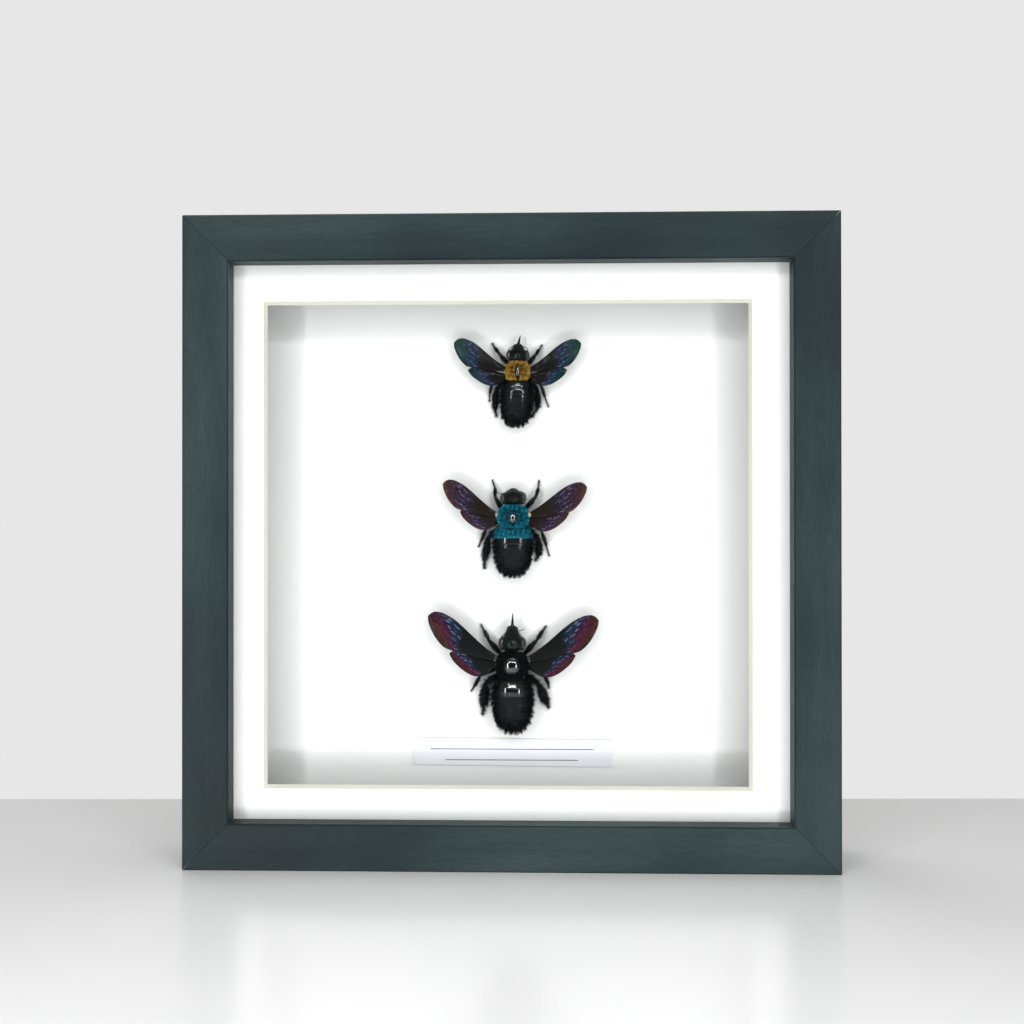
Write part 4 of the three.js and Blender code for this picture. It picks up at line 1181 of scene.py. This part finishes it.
wing = {
    "fore": {
        "lead": [(0, 0), (0.13, -0.012), (0.3, -0.042), (0.48, -0.09), (0.66, -0.132), (0.82, -0.138),
                 (0.95, -0.098), (1, 0)],
        "rear": [(0, 0.08), (0.2, 0.15), (0.42, 0.215), (0.55, 0.25), (0.65, 0.256), (0.8, 0.197),
                 (0.94, 0.092), (1, 0.012)],
        # veins: places along and across, and a radius in mm
        "veins": [
            ([(0, 0.03), (0.3, 0.01), (0.6, 0.01), (0.8, 0.02), (0.95, 0.03), (0.995, 0.3)], 0.34, 0.10),
            ([(0, 0.2), (0.25, 0.14), (0.45, 0.13), (0.56, 0.08), (0.62, 0.02)], 0.17, 0.10),
            ([(0.50, 0.11), (0.60, 0.20), (0.72, 0.21), (0.82, 0.14), (0.88, 0.03)], 0.10, 0.07),
            ([(0.46, 0.13), (0.43, 0.26), (0.38, 0.42)], 0.10, 0.08),
            ([(0, 0.45), (0.2, 0.42), (0.38, 0.42), (0.55, 0.46), (0.72, 0.44), (0.78, 0.40)], 0.13, 0.05),
            ([(0.555, 0.16), (0.56, 0.30), (0.57, 0.46)], 0.07, 0.06),
            ([(0.66, 0.21), (0.66, 0.32), (0.67, 0.45)], 0.07, 0.06),
            ([(0.75, 0.20), (0.76, 0.30), (0.78, 0.40)], 0.07, 0.06),
            ([(0, 0.72), (0.2, 0.68), (0.4, 0.70), (0.55, 0.72), (0.62, 0.76)], 0.12, 0.05),
            ([(0.60, 0.46), (0.58, 0.60), (0.55, 0.72)], 0.07, 0.05),
            ([(0.72, 0.44), (0.70, 0.56), (0.64, 0.66), (0.60, 0.75)], 0.06, 0.05),
            ([(0, 0.94), (0.2, 0.93), (0.42, 0.96), (0.6, 0.985), (0.8, 0.985), (0.96, 0.98)], 0.10, 0.05),
        ],
    },
    "hind": {
        "lead": [(0, 0), (0.2, -0.03), (0.4, -0.06), (0.6, -0.085), (0.78, -0.09), (0.9, -0.07),
                 (0.97, -0.03), (1, 0.02)],
        "rear": [(0.02, 0.12), (0.1, 0.25), (0.22, 0.35), (0.36, 0.39), (0.52, 0.37), (0.7, 0.29),
                 (0.88, 0.17), (0.99, 0.04)],
        "veins": [
            ([(0, 0.03), (0.3, 0.015), (0.6, 0.015), (0.8, 0.02), (0.95, 0.03)], 0.15, 0.05),
            ([(0, 0.22), (0.25, 0.16), (0.5, 0.2), (0.75, 0.26), (0.9, 0.3)], 0.12, 0.04),
            ([(0, 0.4), (0.2, 0.38), (0.42, 0.46), (0.62, 0.56), (0.8, 0.62)], 0.10, 0.04),
            ([(0.36, 0.18), (0.38, 0.30), (0.42, 0.46)], 0.06, 0.05),
            ([(0.02, 0.6), (0.2, 0.62), (0.4, 0.74), (0.55, 0.8)], 0.08, 0.04),
            ([(0.05, 0.98), (0.3, 0.985), (0.6, 0.985), (0.95, 0.97)], 0.05, 0.04),
        ],
    },
    "membrane": 0.05,
    "drop": 1,  # the hindwing lies this far under the forewing
    "steps": (96, 44),
    "ripple": 0.045,
    "creases": 14,
    "trim": 0.995,  # keeps the mesh just inside the solid's tip
}


def smoothPath(knots, shares):
    # a curve through the knots, evenly timed
    knots = np.asarray(knots, float)
    last = len(knots) - 1
    spread = np.clip(shares, 0, 1) * last
    start = np.minimum(spread.astype(int), last - 1)
    step = (spread - start)[:, None]
    before, after = knots[np.maximum(start - 1, 0)], knots[np.minimum(start + 2, last)]
    here, there = knots[start], knots[start + 1]
    leave, arrive = (there - before) / 2, (after - here) / 2
    return ((2 * here - 2 * there + leave + arrive) * step ** 3
            + (3 * there - 3 * here - 2 * leave - arrive) * step ** 2 + leave * step + here)


def wingPlaces(shape, frameOf, height, side, along, across):
    # right, up, height of places given along and across a wing
    root, tip, chord = frameOf
    reach = np.array(tip) - np.array(root)
    length = np.linalg.norm(reach)
    reach /= length
    rearward = np.array((side * reach[1], -side * reach[0]))
    lead, rear = smoothPath(shape["lead"], along), smoothPath(shape["rear"], along)
    place = lead + (rear - lead) * across[:, None]
    flat = np.array(root) + length * (place[:, :1] * reach + place[:, 1:] * chord * rearward)
    bow = 0.35 * np.sin(np.pi * across) - 1.2 * place[:, 0] ** 2
    return np.column_stack((flat, height + bow))


def ripples(along, across, seed):
    # creases between the veins, strongest over the middle of the wing
    rng = np.random.default_rng(seed)
    total = np.zeros(len(along))
    for _ in range(wing["creases"]):
        heading, phase = rng.uniform(-0.9, 0.9), rng.uniform(0, 6.28)
        pitch = rng.uniform(26, 60)
        total += np.sin(pitch * (across * math.cos(heading) + 2.6 * along * math.sin(heading)) + phase)
    strength = 0.25 + np.exp(-((along - 0.58) / 0.16) ** 2)
    return total / math.sqrt(wing["creases"]) * strength * np.clip(along * 3, 0, 1)


def makeWing(name, kind, sideName, bee, seed):
    shape = wing[kind]
    side = -1 if sideName == "left" else 1
    frameOf = bee[kind + "wings"][sideName]
    height = bee["wingHeight"] - (wing["drop"] if kind == "hind" else 0)
    alongSteps, acrossSteps = wing["steps"]
    bpy.ops.object.select_all(action="DESELECT")
    bpy.ops.mesh.primitive_grid_add(x_subdivisions=alongSteps, y_subdivisions=acrossSteps, size=1)
    sheet = bpy.context.object
    flat = points(sheet)
    along, across = np.clip(flat[:, 0] + 0.5, 0, 1), np.clip(flat[:, 1] + 0.5, 0, 1)
    places = wingPlaces(shape, frameOf, height, side, wing["trim"] * along, across)
    places[:, 2] += wing["ripple"] * ripples(along, across, seed)
    setPoints(sheet, spots(bee, places))
    applyModifier(sheet, "SOLIDIFY", thickness=wing["membrane"] * mm, offset=0)
    faceOutwards(sheet)
    smooth(sheet)
    sheet.data.materials.append(looks[name + "Wing"])
    things = [sheet]
    for path, thick, thin in shape["veins"]:
        course = smoothPath(path, np.linspace(0, 1, 9))
        line = wingPlaces(shape, frameOf, height, side, wing["trim"] * course[:, 0],
                          np.clip(course[:, 1], 0, 1))
        radii = np.linspace(thick, thin, len(line)) * 0.75
        vein = drawTube("vein", [Vector(place) for place in spots(bee, line)], radii, 6, 2)
        vein.data.materials.append(looks["vein"])
        things.append(vein)
    joined = joinUp(f"{name}_{kind}wing_{sideName}", things)
    rideAndReplace(joined, name.replace("bee", "wing"), f"{name}_{kind}wing_{sideName}")


# Small caps over the wing roots

def makeCaps(name, bee):
    caps = []
    for (x, z), _, _ in bee["forewings"].values():
        cap = drawBall("cap", spot(bee, x * 1.04, z - 0.5, bee["wingHeight"] + 0.25), (0.55, 0.32, 0.75))
        cap.data.materials.append(looks[bee["cap"]])
        caps.append(cap)
    ride(joinUp(name + "_wing_caps", caps))


def makeBee(name, bee):
    rng = np.random.default_rng(bee["seed"])
    makeThorax(name, bee, rng)
    makeAbdomen(name, bee, rng)
    makeHead(name, bee, rng)
    for legName in bee["legs"]:
        makeLeg(name, legName, bee, rng)
    for kind in ("fore", "hind"):
        for sideName in ("left", "right"):
            makeWing(name, kind, sideName, bee, bee["seed"])
    makeCaps(name, bee)
    print(name, "ready")


for name, bee in bees.items():
    makeBee(name, bee)
